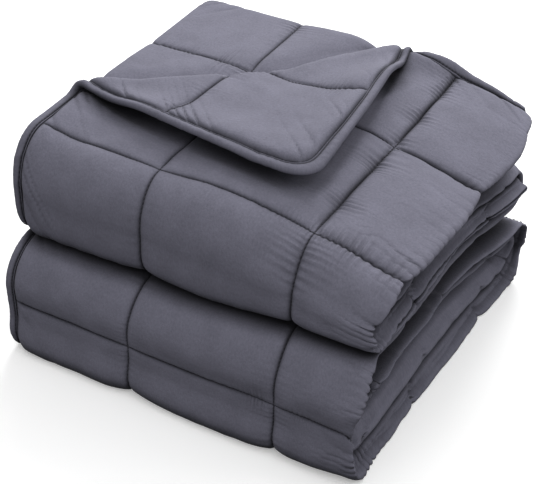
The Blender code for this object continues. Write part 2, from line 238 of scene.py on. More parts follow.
TOP_END, ROLL_END, SECOND_END, THIRD_START, THIRD_END = END_PATH[1:6, 0]
BOTTOM_START, BOTTOM_END, TUCK_START = END_PATH[8:, 0]
print(f"path across {SIDE_LONG:.3f} m, path along {END_LONG:.3f} m")


def nose(x, w):
    """Draw the right-hand folds into rounded noses.

    Cloth steps back by the square of its share of the way from the middle of its fold to the
    next one, and closes in on that middle by a share that grows as the square of x.
    """
    middle = np.where(w > BETWEEN_FOLDS, UPPER_FOLD, LOWER_FOLD)
    away = w - middle
    near = np.clip((x - (FOLD_RIGHT - TAPER_FROM)) / (TAPER_FROM + PITCH / 2), 0.0, 1.0)
    back = NOSE * np.minimum(np.abs(away) / PITCH, 1.0) ** 2
    back = back * grows(x, FOLD_RIGHT - NOSE_FROM, NOSE_FROM)
    return x - back, middle + away * (1.0 - TAPER * near**2)


def sag(y, z, centre_y, centre_z, share):
    """Fill out the lower front quarter of a roll, most at 45 degrees, as its weight does."""
    ahead, below = np.maximum(centre_y - y, 0.0), np.maximum(centre_z - z, 0.0)
    more = share * np.sin(2.0 * np.arctan2(below, ahead)) ** 2
    return y - more * ahead, z - more * below


def cloth_length(s, w):
    """v at path length s: a layer at depth w inside a turn runs ahead by depth times angle."""
    _, _, heading = trace(END_PATH, s)
    spare = CLOTH_LONG - (END_LONG - w * 2 * HALF)
    share = np.clip((s - BOTTOM_START) / (END_LONG - BOTTOM_START), 0.0, 1.0)
    return s - w * (heading - HALF) + spare * share


# %% [markdown]
# ## The turned corner
#
# The far left corner of the top layer is turned forward over the top. It rolls
# over a soft crease that bows towards the front, and then lies on the layer
# below it. In crease coordinates, p runs along the crease and q is the distance
# past it, so the roll is an arc in q alone. Its section is half an ellipse: nearly
# round in the middle, and wide where the crease crosses the blanket's edges,
# because the stiff binding can't turn tightly. The binding also holds the rim of
# the flap a little off the layer below.

# %% Roll the corner over its crease
TURN_LEFT = np.array((0.0035, 0.0966))
TURN_BACK = np.array((0.2176, 0.3100))
TURN_RADII = np.array((
    # share of the crease, radius
    (0.00, 0.0050),
    (0.22, 0.0067),
    (0.45, 0.0082),
    (0.65, 0.0054),
    (0.82, 0.0037),
    (1.00, 0.0034),
))
TURN_WIDE_LEFT, TURN_WIDE_BACK = 1.45, 2.04
WIDE_LEFT_TO, WIDE_BACK_ZONE = 0.25, (0.55, 0.45)
TURN_BOW = 0.0247
TURN_SKEW = -0.0045
TURN_LIES, TURN_EASE = 0.0160, 0.05
TURN_SPAN = float(np.linalg.norm(TURN_BACK - TURN_LEFT))
TURN_ALONG = (TURN_BACK - TURN_LEFT) / TURN_SPAN
TURN_TOWARD = np.array((-TURN_ALONG[1], TURN_ALONG[0]))
LIFT_LEFT, LIFT_LEFT_ZONE = 0.0048, (0.16, 0.08)
LIFT_BACK, LIFT_BACK_ZONE = 0.0100, (0.18, 0.08)
LIFT_WIDE, LIFT_EASE = 0.05, 0.045
UNDER_ZONE = (-0.004, 0.012)
WINDOW = 17


def running_mean(values, **at_ends):
    """Each value's mean with its eight neighbours on either side, which rounds off corners."""
    return np.convolve(np.pad(values, WINDOW // 2, **at_ends), np.ones(WINDOW) / WINDOW, "valid")


TURN_SHARE = np.linspace(0.0, 1.0, 101)
TURN_EASED = running_mean(np.interp(TURN_SHARE, *TURN_RADII.T), mode="edge")
print(f"the crease is {1000 * TURN_SPAN:.0f} mm long")


def turn_bow(p):
    """Half a sine wave along the crease, so that the crease bows forward."""
    return TURN_BOW * np.sin(np.clip(p / TURN_SPAN, 0.0, 1.0) * HALF)


def turn_radius(p):
    """The roll is plump along the middle of the crease and pressed flatter towards the back."""
    return np.interp(p / TURN_SPAN, TURN_SHARE, TURN_EASED)


def turn_wide(p):
    """How much wider than high the roll is: round in the middle, flat loops at its two ends."""
    share = p / TURN_SPAN
    return (1.0 + (TURN_WIDE_LEFT - 1.0) * smooth(1.0 - share / WIDE_LEFT_TO)
            + (TURN_WIDE_BACK - 1.0) * grows(share, *WIDE_BACK_ZONE))


def to_crease(x, y):
    """Place along the crease, and distance past it towards the corner."""
    dx, dy = x - TURN_LEFT[0], y - TURN_LEFT[1]
    p = dx * TURN_ALONG[0] + dy * TURN_ALONG[1]
    return p, dx * TURN_TOWARD[0] + dy * TURN_TOWARD[1] + turn_bow(p)


def from_crease(p, q):
    """The opposite of to_crease."""
    r = q - turn_bow(p)
    return (TURN_LEFT[0] + p * TURN_ALONG[0] + r * TURN_TOWARD[0],
            TURN_LEFT[1] + p * TURN_ALONG[1] + r * TURN_TOWARD[1])


def turn_corner(x, y, n):
    """Half an ellipse about the crease, with n along its normal, then straight on, easing down.

    The bound edges are stiffer than the quilting, so they stand off the layer below.
    """
    p, q = to_crease(x, y)
    radius, wide = turn_radius(p), turn_wide(p)
    half_turn = HALF * radius * np.sqrt((1.0 + wide * wide) / 2.0)
    angle = HALF * np.clip(q / half_turn, 0.0, 1.0)
    past = np.maximum(q - half_turn, 0.0)
    out, up = np.sin(angle), wide * np.cos(angle)
    long = np.hypot(out, up)
    reach = wide * radius * np.sin(angle) - n * out / long - past
    lies = (2 * radius - TURN_LIES) * smooth(past / TURN_EASE)
    lift = LIFT_LEFT * smooth(1.0 - (x - EDGE_LEFT) / LIFT_WIDE) * fades(past, *LIFT_LEFT_ZONE)
    lift = lift + LIFT_BACK * smooth(1.0 - (TOP_EDGE_BACK - y) / LIFT_WIDE) * fades(past, *LIFT_BACK_ZONE)
    rise = radius - radius * np.cos(angle) + n * up / long - lies + lift * smooth(past / LIFT_EASE)
    x, y = from_crease(p + TURN_SKEW * np.maximum(q, 0.0), reach)
    return x, y, rise, q


def under_corner(x, y):
    """1 where the turned corner lies on the top: its cloth there comes from inside the sheet."""
    p, q = to_crease(x, y)
    there = HALF * turn_radius(p) * turn_wide(p) - q
    from_x, from_y = from_crease(p - TURN_SKEW * there, there)
    inside = np.minimum(from_x - EDGE_LEFT, TOP_EDGE_BACK - from_y)
    return grows(inside, *UNDER_ZONE) * (q < turn_radius(p))


# %% [markdown]
# ## Settling
#
# A stack of heavy cloth doesn't stay square. The table gives, for each pair of
# layers on the right, how high its top is at the front and at the back, and how
# far it stands out. A running mean over the table's straight lines rounds their
# corners, and a low rumple keeps the top from being a plane. Towards the back the
# folds have slid further out, and the right edge of the top slumps to a shoulder.

# %% Let the stack settle
SETTLED = np.array((
    # front,  back,   out
    (0.0190, 0.0190, 0.000),
    (0.0330, 0.0340, -0.005),
    (0.0490, 0.0500, -0.003),
    (0.0660, 0.0690, -0.005),
    (0.0810, 0.0860, -0.003),
    (0.1070, 0.1090, 0.000),
    (0.1150, 0.1160, -0.005),
    (0.1240, 0.1220, -0.003),
    (0.1380, 0.1300, -0.007),
    (0.1670, 0.1700, 0.004),
))
LEFT_HIGH = (0.1805, 0.1945)
LEFT_DIP, DIP_AT = 0.010, 0.6
SETTLE_FROM, SETTLE_TO = 0.16, 0.322
STAND_OUT_FROM = 0.25
# the share of the table's last column at the front, and how far back it is whole
FRONT_OUT, FRONT_OUT_TO = 0.4, 0.08
# how much further out at the back, less near the floor and in the top layers
BACK_OUT, BACK_OUT_ZONE = 0.013, (0.17, 0.12)
LOW_OUT, LOW_OUT_TO = 0.5, 0.3
TOP_HELD, TOP_HELD_ZONE = 0.5, (0.8, 0.15)
# uneven ends: size, length, how much flatter, the share near the floor, and where they calm
ENDS, ENDS_WIDE, ENDS_FLAT = 0.0028, 0.045, 4.0
ENDS_LOW, ENDS_LOW_TO = 0.3, 0.5
CALM, CALM_ZONE, CALM_BELOW = 0.7, (0.20, 0.08), 0.9
# the slump of the top's right edge, and where the plump back takes it up
SHOULDER, SHOULDER_SIDE, SHOULDER_TOP = 0.010, (0.262, 0.06), (0.8, 0.2)
FULLER, FULLER_ZONE = 0.85, (0.19, 0.09)
SWAY, SWAY_WIDE = 0.0016, 0.08
BEYOND = 0.04
LEVEL = np.linspace(0.0, STACK_HIGH, len(SETTLED) + 1)
FINE_LEVEL = np.linspace(-BEYOND, STACK_HIGH + BEYOND, 521)


def eased(levels, heights):
    """Straight lines through the table's points, carried on past its ends, with a running mean."""
    slope_low = (heights[1] - heights[0]) / (levels[1] - levels[0])
    slope_high = (heights[-1] - heights[-2]) / (levels[-1] - levels[-2])
    lines = np.interp(FINE_LEVEL, levels, heights)
    lines += np.minimum(FINE_LEVEL - levels[0], 0.0) * slope_low
    lines += np.maximum(FINE_LEVEL - levels[-1], 0.0) * slope_high
    return running_mean(lines, mode="reflect", reflect_type="odd")


FRONT_HIGH, BACK_HIGH = (eased(LEVEL, np.concatenate(([0.0], SETTLED[:, k]))) for k in (0, 1))
STAND_OUT = eased((LEVEL[1:] + LEVEL[:-1]) / 2, SETTLED[:, 2])
print(f"the front right settles by {1000 * (STACK_HIGH - SETTLED[-1, 0]):.0f} mm")


def ends_out(y, z):
    """How far the ends on the right stand out: the table, an uneven part, and more at the back."""
    level = z / STACK_HIGH
    ends = ENDS * at_least(ENDS_LOW, smooth(level / ENDS_LOW_TO)) * rumple(y, z * ENDS_FLAT, ENDS_WIDE, 3)
    out = np.interp(np.minimum(z, STACK_HIGH), FINE_LEVEL, STAND_OUT)
    out = out * at_least(FRONT_OUT, smooth(y / FRONT_OUT_TO))
    out = (out + ends) * (1.0 - CALM * grows(y, *CALM_ZONE) * (level < CALM_BELOW))
    held = at_least(LOW_OUT, smooth(level / LOW_OUT_TO)) * (1.0 - TOP_HELD * grows(level, *TOP_HELD_ZONE))
    return out + BACK_OUT * grows(y, *BACK_OUT_ZONE) * held


def settle(x, y, z):
    """Blend, from left to right, an even height and the table's uneven one."""
    depth = y / TOP_EDGE_BACK
    level = z / STACK_HIGH
    left = level * (LEFT_HIGH[0] + (LEFT_HIGH[1] - LEFT_HIGH[0]) * depth)
    left = left - LEFT_DIP * smooth(level / DIP_AT) * smooth((1.0 - level) / (1.0 - DIP_AT))
    held = np.minimum(z, STACK_HIGH)
    front, back = (np.interp(held, FINE_LEVEL, column) for column in (FRONT_HIGH, BACK_HIGH))
    right = front + (back - front) * depth + np.maximum(z - STACK_HIGH, 0.0)
    share = smooth((x - SETTLE_FROM) / (SETTLE_TO - SETTLE_FROM))
    stand = smooth((x - STAND_OUT_FROM) / (SETTLE_TO - STAND_OUT_FROM))
    high = left + (right - left) * share
    shoulder = SHOULDER * grows(x, *SHOULDER_SIDE) * grows(level, *SHOULDER_TOP)
    high = high - shoulder * (1.0 - FULLER * grows(y, *FULLER_ZONE))
    return x + ends_out(y, z) * stand, y, high + SWAY * level * rumple(x, y, SWAY_WIDE, 4)


# %% [markdown]
# ## Plump back and round corners
#
# Behind the turned corner the stack is free of its weight, so it stands plumper,
# reaches back a little, and its end curls down over the back. Where the crease
# crosses the blanket's edges, the stiff binding stands up in low loops. The two
# far corners are soft and round, the right one most. All are even bends of the
# whole stack, so no layer cuts its neighbour.

# %% Bend the back of the stack
UPPER_ZONE, BACK_ZONE, LEFT_ZONE, RIGHT_ZONE = (0.6, 0.35), (0.20, 0.10), (0.215, 0.045), (0.21, 0.05)
PLUMP, PLUMP_ZONE = 0.0085, (0.013, 0.040)
LEFT_REACH, RIGHT_REACH, RIGHT_RISE = 0.010, 0.005, 0.002
EDGE_LIP, LIP_ZONE = 0.0025, (TOP_EDGE_BACK - 0.012, 0.01)
CURL_DEEP, CURL_FROM, CURL_MOST, CURL_POWER = 0.017, 0.022, 1.1, 2.5
LOOP_BACK, LOOP_BACK_EDGE, LOOP_BACK_START = 0.0075, (0.275, 0.03), (-0.036, 0.024)
LOOP_BACK_DROP, LOOP_BACK_END = 0.9, (-0.006, 0.016)
LOOP_LEFT, LOOP_LEFT_EDGE = 0.0075, (0.060, 0.055)
LOOP_LEFT_START, LOOP_LEFT_END = (-0.085, 0.055), (0.02, 0.012)


def crease_loops(x, y, q):
    """The rise of the two bound edges where the crease crosses them."""
    back = LOOP_BACK * grows(y, *LOOP_BACK_EDGE) * grows(q, *LOOP_BACK_START)
    back = back * (1.0 - LOOP_BACK_DROP * grows(q, *LOOP_BACK_END))
    left = LOOP_LEFT * fades(x, *LOOP_LEFT_EDGE) * grows(q, *LOOP_LEFT_START) * fades(q, *LOOP_LEFT_END)
    return back + left


def plump_back(x, y, z):
    """Raise and curl what lies behind the crease, more towards the top of the stack."""
    _, q = to_crease(x, y)
    upper, back = grows(z / STACK_HIGH, *UPPER_ZONE), grows(y, *BACK_ZONE)
    left, right = fades(x, *LEFT_ZONE), grows(x, *RIGHT_ZONE)
    curl = np.clip((y - (TOP_EDGE_BACK - CURL_FROM)) / CURL_FROM, 0.0, CURL_MOST) ** CURL_POWER
    rise = PLUMP * grows(q, *PLUMP_ZONE) - CURL_DEEP * curl * left
    rise = rise + (RIGHT_RISE * back + EDGE_LIP * grows(y, *LIP_ZONE)) * right + crease_loops(x, y, q)
    return x, y + (LEFT_REACH * left + RIGHT_REACH * right) * back * upper, z + rise * upper


# %% Round its corners
CORNER_ZONE, ROUNDNESS = (0.65, 0.25), 0.72
RIGHT_SOFT, RIGHT_SOFT_LOW = 0.076, 0.22
LEFT_SOFT, LEFT_SOFT_LOW = 0.038, 0.4


def draw_in(x, y, reach, edge_x, edge_y):
    """Turn the square corner at (edge_x, edge_y) into nearly a quarter circle of radius `reach`.

    A whole quarter circle would press the cloth to nothing at the corner itself.
    """
    first_x, first_y = edge_x - reach, edge_y - reach
    a, b = np.maximum(x - first_x, 0.0) / reach, np.maximum(y - first_y, 0.0) / reach
    drawn_x = first_x + reach * a * np.sqrt(1.0 - ROUNDNESS * np.minimum(b, 1.0) ** 2 / 2.0)
    drawn_y = first_y + reach * b * np.sqrt(1.0 - ROUNDNESS * np.minimum(a, 1.0) ** 2 / 2.0)
    return np.where(a > 0.0, drawn_x, x), np.where(b > 0.0, drawn_y, y)


def round_back_corners(x, y, z):
    """Draw in both far corners, the right one most, and less towards the floor."""
    upper = grows(z / STACK_HIGH, *CORNER_ZONE)
    right, left = RIGHT_SOFT * at_least(RIGHT_SOFT_LOW, upper), LEFT_SOFT * at_least(LEFT_SOFT_LOW, upper)
    x, y = draw_in(x, y, right, FOLD_RIGHT + PITCH / 2, TOP_EDGE_BACK)
    away, y = draw_in(-x, y, left, -EDGE_LEFT, TOP_EDGE_BACK)
    return -away, y, z


# %% [markdown]
# ## From flat cloth to folded stack
#
# `fold` applies the bends in the order in which someone folds a blanket, and
# then lets it settle. A slow drift of the flat coordinates comes first, so that
# no fold or edge is ruler straight.

# %% Everything in turn
WANDER, WANDER_WIDE = 0.0011, 0.06


def fold(u, s, n):
    """Drift, side fold, end fold, turned corner, sag, soft back and settling, one after another."""
    u, s = (at + WANDER * rumple(u, s, WANDER_WIDE, seed) for at, seed in ((u, 1), (s, 2)))
    x, w, side_heading = trace(SIDE_PATH, u)
    x = x + n * np.sin(side_heading)
    w = w - n * np.cos(side_heading)
    x, w = nose(x, w)
    y, z, end_heading = trace(END_PATH, s)
    y = y - w * np.sin(end_heading)
    z = z + w * np.cos(end_heading)
    tx, ty, rise, past = turn_corner(x, y, n)
    turned = (u < SIDE_RUN) & (s < TOP_END) & (past > 0.0)
    x, y = np.where(turned, tx, x), np.where(turned, ty, y)
    z = np.where(turned, TOP_MIDDLE + rise, z)
    upper_y, upper_z = sag(y, z, UPPER_CENTRE, STACK_HIGH - PITCH * LAYERS, UPPER_SAG)
    y, z = np.where(s < SECOND_END, upper_y, y), np.where(s < SECOND_END, upper_z, z)
    y, z = sag(y, z, LOWER_CENTRE, LOWER_CENTRE, LOWER_SAG * (1.0 - FIRMER * grows(x, *FIRMER_ZONE)))
    x, y, z = plump_back(*round_back_corners(x, y, z - (PITCH - PUFF_THICK) / 2))
    x, y, z = settle(x, y, z)
    return np.stack((x, y, np.maximum(z, 0.0)), axis=-1) - ORIGIN


# %% [markdown]
# ## Seams and puckers
#
# Thread pulls the two faces together along a seam. The cloth on each side is a
# little longer than the thread, so it puckers: short waves stand at right angles
# to the seam and die away within a finger's width. Their pitch, length and depth
# all wander, because no two stitches pull alike.

# %% The pull of a seam
SEAM_HALF = 0.0008
PUFF_HALF = 0.0040
SEAM_SHARP, SEAM_BROAD, SHARP_SHARE = 0.0013, 0.012, 0.6
PUCKER, PUCKER_REACH, PUCKER_PITCH, PUCKER_START = 0.0015, 0.0085, 0.0050, 0.0010
# how far apart neighbouring seams read their ripples, so that no two are alike
DRIFT_SHIFT, FAR_SHIFT, STRONG_SHIFT = 0.37, 0.5, 0.3
TUCK, TUCK_REACH, TUCK_PITCH = 0.0021, 0.017, 0.013
VALLEY_POWER = 1.6
# how a quality wanders: its mean, its swing, and the length over which it changes
PUCKER_DRIFT, TUCK_DRIFT = (0.0, 1.8, 0.031), (0.0, 1.1, 0.04)
PUCKER_FAR, TUCK_FAR = (1.0, 0.7, 0.013), (1.0, 0.5, 0.017)
PUCKER_STRONG, TUCK_STRONG = (0.45, 0.65, 0.019), (0.35, 0.9, 0.021)
SEAMS_U = np.linspace(BORDER_ACROSS, SIDE_LONG - BORDER_ACROSS, SQUARES_ACROSS + 1)
SEAMS_V = np.linspace(BORDER_LONG, CLOTH_LONG - BORDER_LONG, SQUARES_LONG + 1)
SQUARE_U, SQUARE_V = SEAMS_U[1] - SEAMS_U[0], SEAMS_V[1] - SEAMS_V[0]
print(f"squares of {1000 * SQUARE_U:.0f} by {1000 * SQUARE_V:.0f} mm")


def nearest(at, seams):
    """Distance to the nearest seam, and its number."""
    gap = np.abs(at[..., None] - seams)
    return np.min(gap, axis=-1), np.argmin(gap, axis=-1)


def pillow(distance):
    """Rise away from a seam: part within a few millimetres, the rest more slowly."""
    sharp, broad = (1.0 - np.exp(-distance / reach) for reach in (SEAM_SHARP, SEAM_BROAD))
    return SHARP_SHARE * sharp + (1.0 - SHARP_SHARE) * broad


def valleys(phase):
    """Narrow creases, one to each whole number: one less the size of a sine, to a power."""
    return (1.0 - np.abs(np.sin(math.pi * phase))) ** VALLEY_POWER


def pucker(distance, along, line, seed):
    """Dips across a seam: a wave along it that fades with distance, of uneven pitch."""
    drift = uneven(along, *PUCKER_DRIFT, seed) + DRIFT_SHIFT * line
    wave = 0.5 - 0.5 * np.cos(2 * math.pi * (along / PUCKER_PITCH + drift))
    reach = PUCKER_REACH * uneven(along + FAR_SHIFT * line, *PUCKER_FAR, seed + 1)
    strong = np.clip(uneven(along + STRONG_SHIFT * line, *PUCKER_STRONG, seed + 2), 0.0, 1.0)
    return strong * wave * np.exp(-distance / reach) * (1.0 - np.exp(-distance / PUCKER_START))


def tuck(distance, along, seed):
    """Single deep creases that run in from the binding: narrow valleys, some strong, most faint."""
    valley = valleys(along / TUCK_PITCH + uneven(along, *TUCK_DRIFT, seed))
    strong = np.clip(uneven(along, *TUCK_STRONG, seed + 1), 0.0, 1.0)
    reach = TUCK_REACH * uneven(along, *TUCK_FAR, seed + 2)
    return strong * valley * np.exp(-np.maximum(distance, 0.0) / reach)


# %% [markdown]
# ## Gathers at the folds
#
# Where the folded edge goes round a roll, its cloth has a shorter way than the
# cloth beside it, so the fold is gathered: creases run across it, close and deep
# on the rolls, wide and shallow between them.

# %% The gathers of the two right-hand folds
FOLD_A, FOLD_B = SIDE_RUN + TIGHT / 2, RIGHT_TURN + TIGHT / 2
GATHERS = np.array((
    # path length,        pitch,  depth
    (0.0,                 0.013, 0.0009),
    (TOP_END - 0.03,      0.012, 0.0011),
    (TOP_END + 0.01,      0.0058, 0.0026),
    (ROLL_END,            0.0058, 0.0026),
    (ROLL_END + 0.03,     0.013, 0.0011),
    (THIRD_END - 0.03,    0.013, 0.0011),
    (THIRD_END + 0.01,    0.0060, 0.0023),
    (BOTTOM_START,        0.0060, 0.0023),
    (BOTTOM_START + 0.03, 0.016, 0.0009),
    (BOTTOM_END - 0.02,   0.015, 0.0009),
    (BOTTOM_END + 0.01,   0.009, 0.0016),
    (TUCK_START,          0.009, 0.0016),
    (TUCK_START + 0.03,   0.014, 0.0009),
))
COUNT_AT = np.linspace(0.0, END_LONG, 3001)
COUNT = np.cumsum(np.gradient(COUNT_AT) / np.interp(COUNT_AT, GATHERS[:, 0], GATHERS[:, 1]))
GATHER_DRIFT, GATHER_LEAN = (0.0, 1.5, 0.024), (0.0, 0.6, 0.016)
GATHER_REACH, GATHER_FAR = 0.015, (1.0, 0.8, 0.011)
GATHER_STRONG, FAINTEST, STRONGEST = (0.6, 0.8, 0.013), 0.12, 1.2
print(f"about {COUNT[-1]:.0f} gathers along each fold")


def gather(u, s, seed):
    """Creases across each right-hand fold: a wave counted along s, fading away from the fold."""
    depth = np.interp(s, GATHERS[:, 0], GATHERS[:, 2])
    total = 0.0
    for k, at in enumerate((FOLD_A, FOLD_B)):
        away = np.abs(u - at)
        own = seed + 3 * k
        drift = uneven(s, *GATHER_DRIFT, own) + uneven(away, *GATHER_LEAN, seed + 9)
        reach = GATHER_REACH * uneven(s, *GATHER_FAR, own + 1)
        strong = np.clip(uneven(s, *GATHER_STRONG, own + 2), FAINTEST, STRONGEST)
        total = total + strong * valleys(np.interp(s, COUNT_AT, COUNT) + drift) * np.exp(-away / reach)
    return depth * total


# %% [markdown]
# ## The height of each face
#
# A covered face is pressed flat by its neighbour. A free one, on top, on the
# front of the rolls and at the back, crowns between its seams and keeps the
# dents of handling. The turned corner shows the blanket's other face, and drag
# lines run down it from the crease.

# %% Thickness of the cloth, face by face
CROWN, DENT, DENT_WIDE = 0.0026, 0.0007, 0.032
CREASED, CREASED_WIDE = 0.00022, 0.009
DRAG, DRAG_WIDE, DRAG_LONG, DRAG_EASE, DRAG_ZONE = 0.0010, 0.015, 0.3, 0.02, (0.13, 0.08)
EDGE_RISE, THINNEST = 0.0024, 0.0007
TURN_REACH, TURN_ROOM = 0.04, 0.85
SMOOTH_LEFT, PUCKER_ZONE = 0.3, (0.17, 0.08)
SLIP_U, SLIP_S = 0.0275, 0.028
SLIP_START, SLIP_END, SLIP_BACK = (LAYER_2 + 0.06, 0.03), (LEFT_TURN + 0.1, 0.1), (0.24, 0.1)
FREE_OUTER = np.array((
    # path length, 1 where the outer face is free and 0 where it is covered
    (0.0, 1), (ROLL_END - 0.025, 1),
    (ROLL_END + 0.01, 0), (THIRD_END - 0.01, 0),
    (THIRD_END + 0.02, 1), (BOTTOM_START - 0.03, 1),
    (BOTTOM_START - 0.005, 0), (BOTTOM_END, 0),
    (BOTTOM_END + 0.02, 1), (TUCK_START - 0.02, 1),
    (TUCK_START, 0),
))
FREE_TO_FOLD, PAST_CREASE = (FOLD_A + 0.004, 0.008), 0.01
BACK_TURN_EASE, BACK_TURN_ACROSS = 0.002, 0.02


def from_edge(u, s):
    """Distance in from the blanket's edge, round its corners."""
    a, b = np.minimum(u, SIDE_LONG - u), np.minimum(s, END_LONG - s)
    short_a, short_b = np.maximum(CORNER_ROUND - a, 0.0), np.maximum(CORNER_ROUND - b, 0.0)
    outer = CORNER_ROUND - np.hypot(short_a, short_b)
    return np.where((short_a > 0.0) | (short_b > 0.0), outer, np.minimum(a, b))


def free_share(u, s, side):
    """1 where nothing presses on the face, 0 where another layer does."""
    x, y = EDGE_LEFT + u, TOP_EDGE_BACK - s
    on_top = (s < TOP_END) & (u < SIDE_RUN)
    _, past = to_crease(x, y)
    if side > 0:
        free = np.interp(s, *FREE_OUTER.T) * fades(u, *FREE_TO_FOLD)
        return np.where(on_top, free * (1.0 - under_corner(x, y)) * smooth(1.0 - past / PAST_CREASE), free)
    back = grows(s, SECOND_END, BACK_TURN_EASE) * fades(s, THIRD_START, BACK_TURN_EASE)
    return np.where(on_top, smooth(past / PAST_CREASE), back * grows(u, LAYER_4, BACK_TURN_ACROSS))


def slipped(u, s):
    """The second layer has slipped a little under the first, so its squares lie out of line."""
    share = grows(u, *SLIP_START) * fades(u, *SLIP_END)
    return u - SLIP_U * share, SLIP_S * share * fades(s, *SLIP_BACK)


def face_height(u, s, side):
    """Height over the cloth's middle of its outer face, side 1, or its inner face, side -1."""
    _, w, _ = trace(SIDE_PATH, u)
    across, slip = slipped(u, s)
    v = cloth_length(s, w) + slip
    seed = 11 if side > 0 else 31
    du, line_u = nearest(across, SEAMS_U)
    dv, line_v = nearest(v, SEAMS_V)
    high = SEAM_HALF + (PUFF_HALF - SEAM_HALF) * pillow(du) * pillow(dv)
    pull = PUCKER * (1.0 if side < 0 else at_least(SMOOTH_LEFT, grows(u, *PUCKER_ZONE)))
    high = high - pull * (pucker(du, v, line_u, seed) + pucker(dv, across, line_v, seed + 5))
    high = high - gather(u, s, seed + 40)
    free = free_share(u, s, side)
    arch_u, arch_v = (np.sin(np.clip(gap / (square / 2), 0, 1) * HALF / 2)
                      for gap, square in ((du, SQUARE_U), (dv, SQUARE_V)))
    high = high + free * (CROWN * np.sqrt(arch_u * arch_v) + DENT * rumple(u, v, DENT_WIDE, seed + 9))
    high = high + CREASED * rumple(u, v, CREASED_WIDE, seed + 12)
    p, past = to_crease(EDGE_LEFT + u, TOP_EDGE_BACK - s)
    on_top = (s < TOP_END) & (u < SIDE_RUN)
    if side < 0:
        fading = smooth(past / DRAG_EASE) * fades(past, *DRAG_ZONE) * on_top
        high = high + DRAG * fading * rumple(p, past * DRAG_LONG, DRAG_WIDE, seed + 14)
    else:
        in_turn = on_top & (past > 0.0) & (past < TURN_REACH)
        high = np.where(in_turn, np.minimum(high, TURN_ROOM * turn_radius(p) / turn_wide(p)), high)
    inward = from_edge(u, s) - BINDING_WIDE
    high = high - TUCK * tuck(inward, u - s, seed + 20)
    inside = 1.0 - np.exp(-np.maximum(inward, 0.0) / EDGE_RISE)
    high = FLANGE_THICK / 2 + (np.maximum(high, THINNEST) - FLANGE_THICK / 2) * inside
    crease = np.minimum(np.minimum(du, dv), np.maximum(inward, 0.0))
    return side * high, v, crease


# %% [markdown]
# ## Building a piece of quilt
#
# A piece is a grid of points for its outer face, the same grid for its inner
# face, and walls that close the gap at the rim. The grid has close lines beside
# the seams and where the cloth shows, and wide ones where other layers cover it.
# Whole arrays go into the mesh at once, which is far quicker than adding faces
# one by one. Normals come from the formula and not from the faces, so two pieces
# that meet along a cut shade as one cloth.

# %% Where to put the grid's lines
BESIDE = np.array((-0.0034, -0.0016, -0.0006, 0.0, 0.0006, 0.0016, 0.0034))
CLEAR_OF_END, CLEAR_OF_SEAM, LEAST_STEP = 0.001, 0.0009, 0.0002


def stations(spans, lines):
    """Even steps through spans of (from, to, step), with extra ones close beside each line."""
    even = np.concatenate([np.linspace(a, b, max(2, round((b - a) / step) + 1)) for a, b, step in spans])
    first, last = spans[0][0], spans[-1][1]
    beside = (lines[:, None] + BESIDE).ravel()
    beside = beside[(beside > first + CLEAR_OF_END) & (beside < last - CLEAR_OF_END)]
    if len(beside):
        clear = np.min(np.abs(even[:, None] - beside), axis=1) > CLEAR_OF_SEAM
        clear[[0, -1]] = True
        even = np.concatenate((even[clear], beside))
    joined = np.unique(np.round(even, 6))
    return joined[np.concatenate(([True], np.diff(joined) > LEAST_STEP))]


def round_corners(u, s):
    """Pull square corners in to quarter circles, and the edge in under its binding."""
    def out_from_centre(at, total):
        beyond = np.maximum(CORNER_ROUND - at, at - (total - CORNER_ROUND))
        return np.clip(beyond / CORNER_ROUND, 0.0, 1.0)

    def placed(at, total, out, other):
        reach = out * np.sqrt(1.0 - other * other / 2.0) * (CORNER_ROUND - EDGE_INSET)
        drawn = np.where(at < total / 2, CORNER_ROUND - reach, total - CORNER_ROUND + reach)
        return np.where(out > 0.0, drawn, at)

    a, b = out_from_centre(u, SIDE_LONG), out_from_centre(s, END_LONG)
    return placed(u, SIDE_LONG, a, b), placed(s, END_LONG, b, a)


# %% Put points, faces and normals into a mesh
def mesh_from(name, points, faces, uv, seam, normals=None):
    """A smooth-shaded mesh, with the blanket's own flat coordinates as its UV map."""
    corners = points[faces[:, :3]]
    if np.einsum("ij,ij->", corners[:, 0], np.cross(corners[:, 1], corners[:, 2])) < 0.0:
        faces = faces[:, ::-1]
    data = bpy.data.meshes.new(name)
    data.vertices.add(len(points))
    data.vertices.foreach_set("co", points.astype(np.float32).ravel())
    data.loops.add(faces.size)
    data.loops.foreach_set("vertex_index", faces.astype(np.int32).ravel())
    data.polygons.add(len(faces))
    data.polygons.foreach_set("loop_start", np.arange(0, faces.size, faces.shape[1], dtype=np.int32))
    data.update(calc_edges=True)
    layer = data.uv_layers.new(name="flat")
    layer.data.foreach_set("uv", uv[faces.ravel()].astype(np.float32).ravel())
    data.attributes.new("seam", "FLOAT", "POINT").data.foreach_set("value", seam.astype(np.float32))
    data.shade_smooth()
    if normals is not None:
        data.normals_split_custom_set_from_vertices(normals.tolist())
    made = bpy.data.objects.new(name, data)
    bpy.context.scene.collection.objects.link(made)
    return made


def grid_faces(rows, columns, first, flip):
    """Quads of a grid of points numbered row by row from `first`."""
    i, j = np.meshgrid(np.arange(rows - 1), np.arange(columns - 1), indexing="ij")
    a = first + i * columns + j
    quads = np.stack((a, a + columns, a + columns + 1, a + 1), -1).reshape(-1, 4)
    return quads[:, ::-1] if flip else quads


def rim_of(rows, columns):
    """The point numbers round a grid's rim, once."""
    index = np.arange(rows * columns).reshape(rows, columns)
    return np.concatenate((index[0, :-1], index[:-1, -1], index[-1, :0:-1], index[:0:-1, 0]))


def face_points(u, s, side):
    """Places of one face of the cloth."""
    return fold(u, s, face_height(u, s, side)[0])


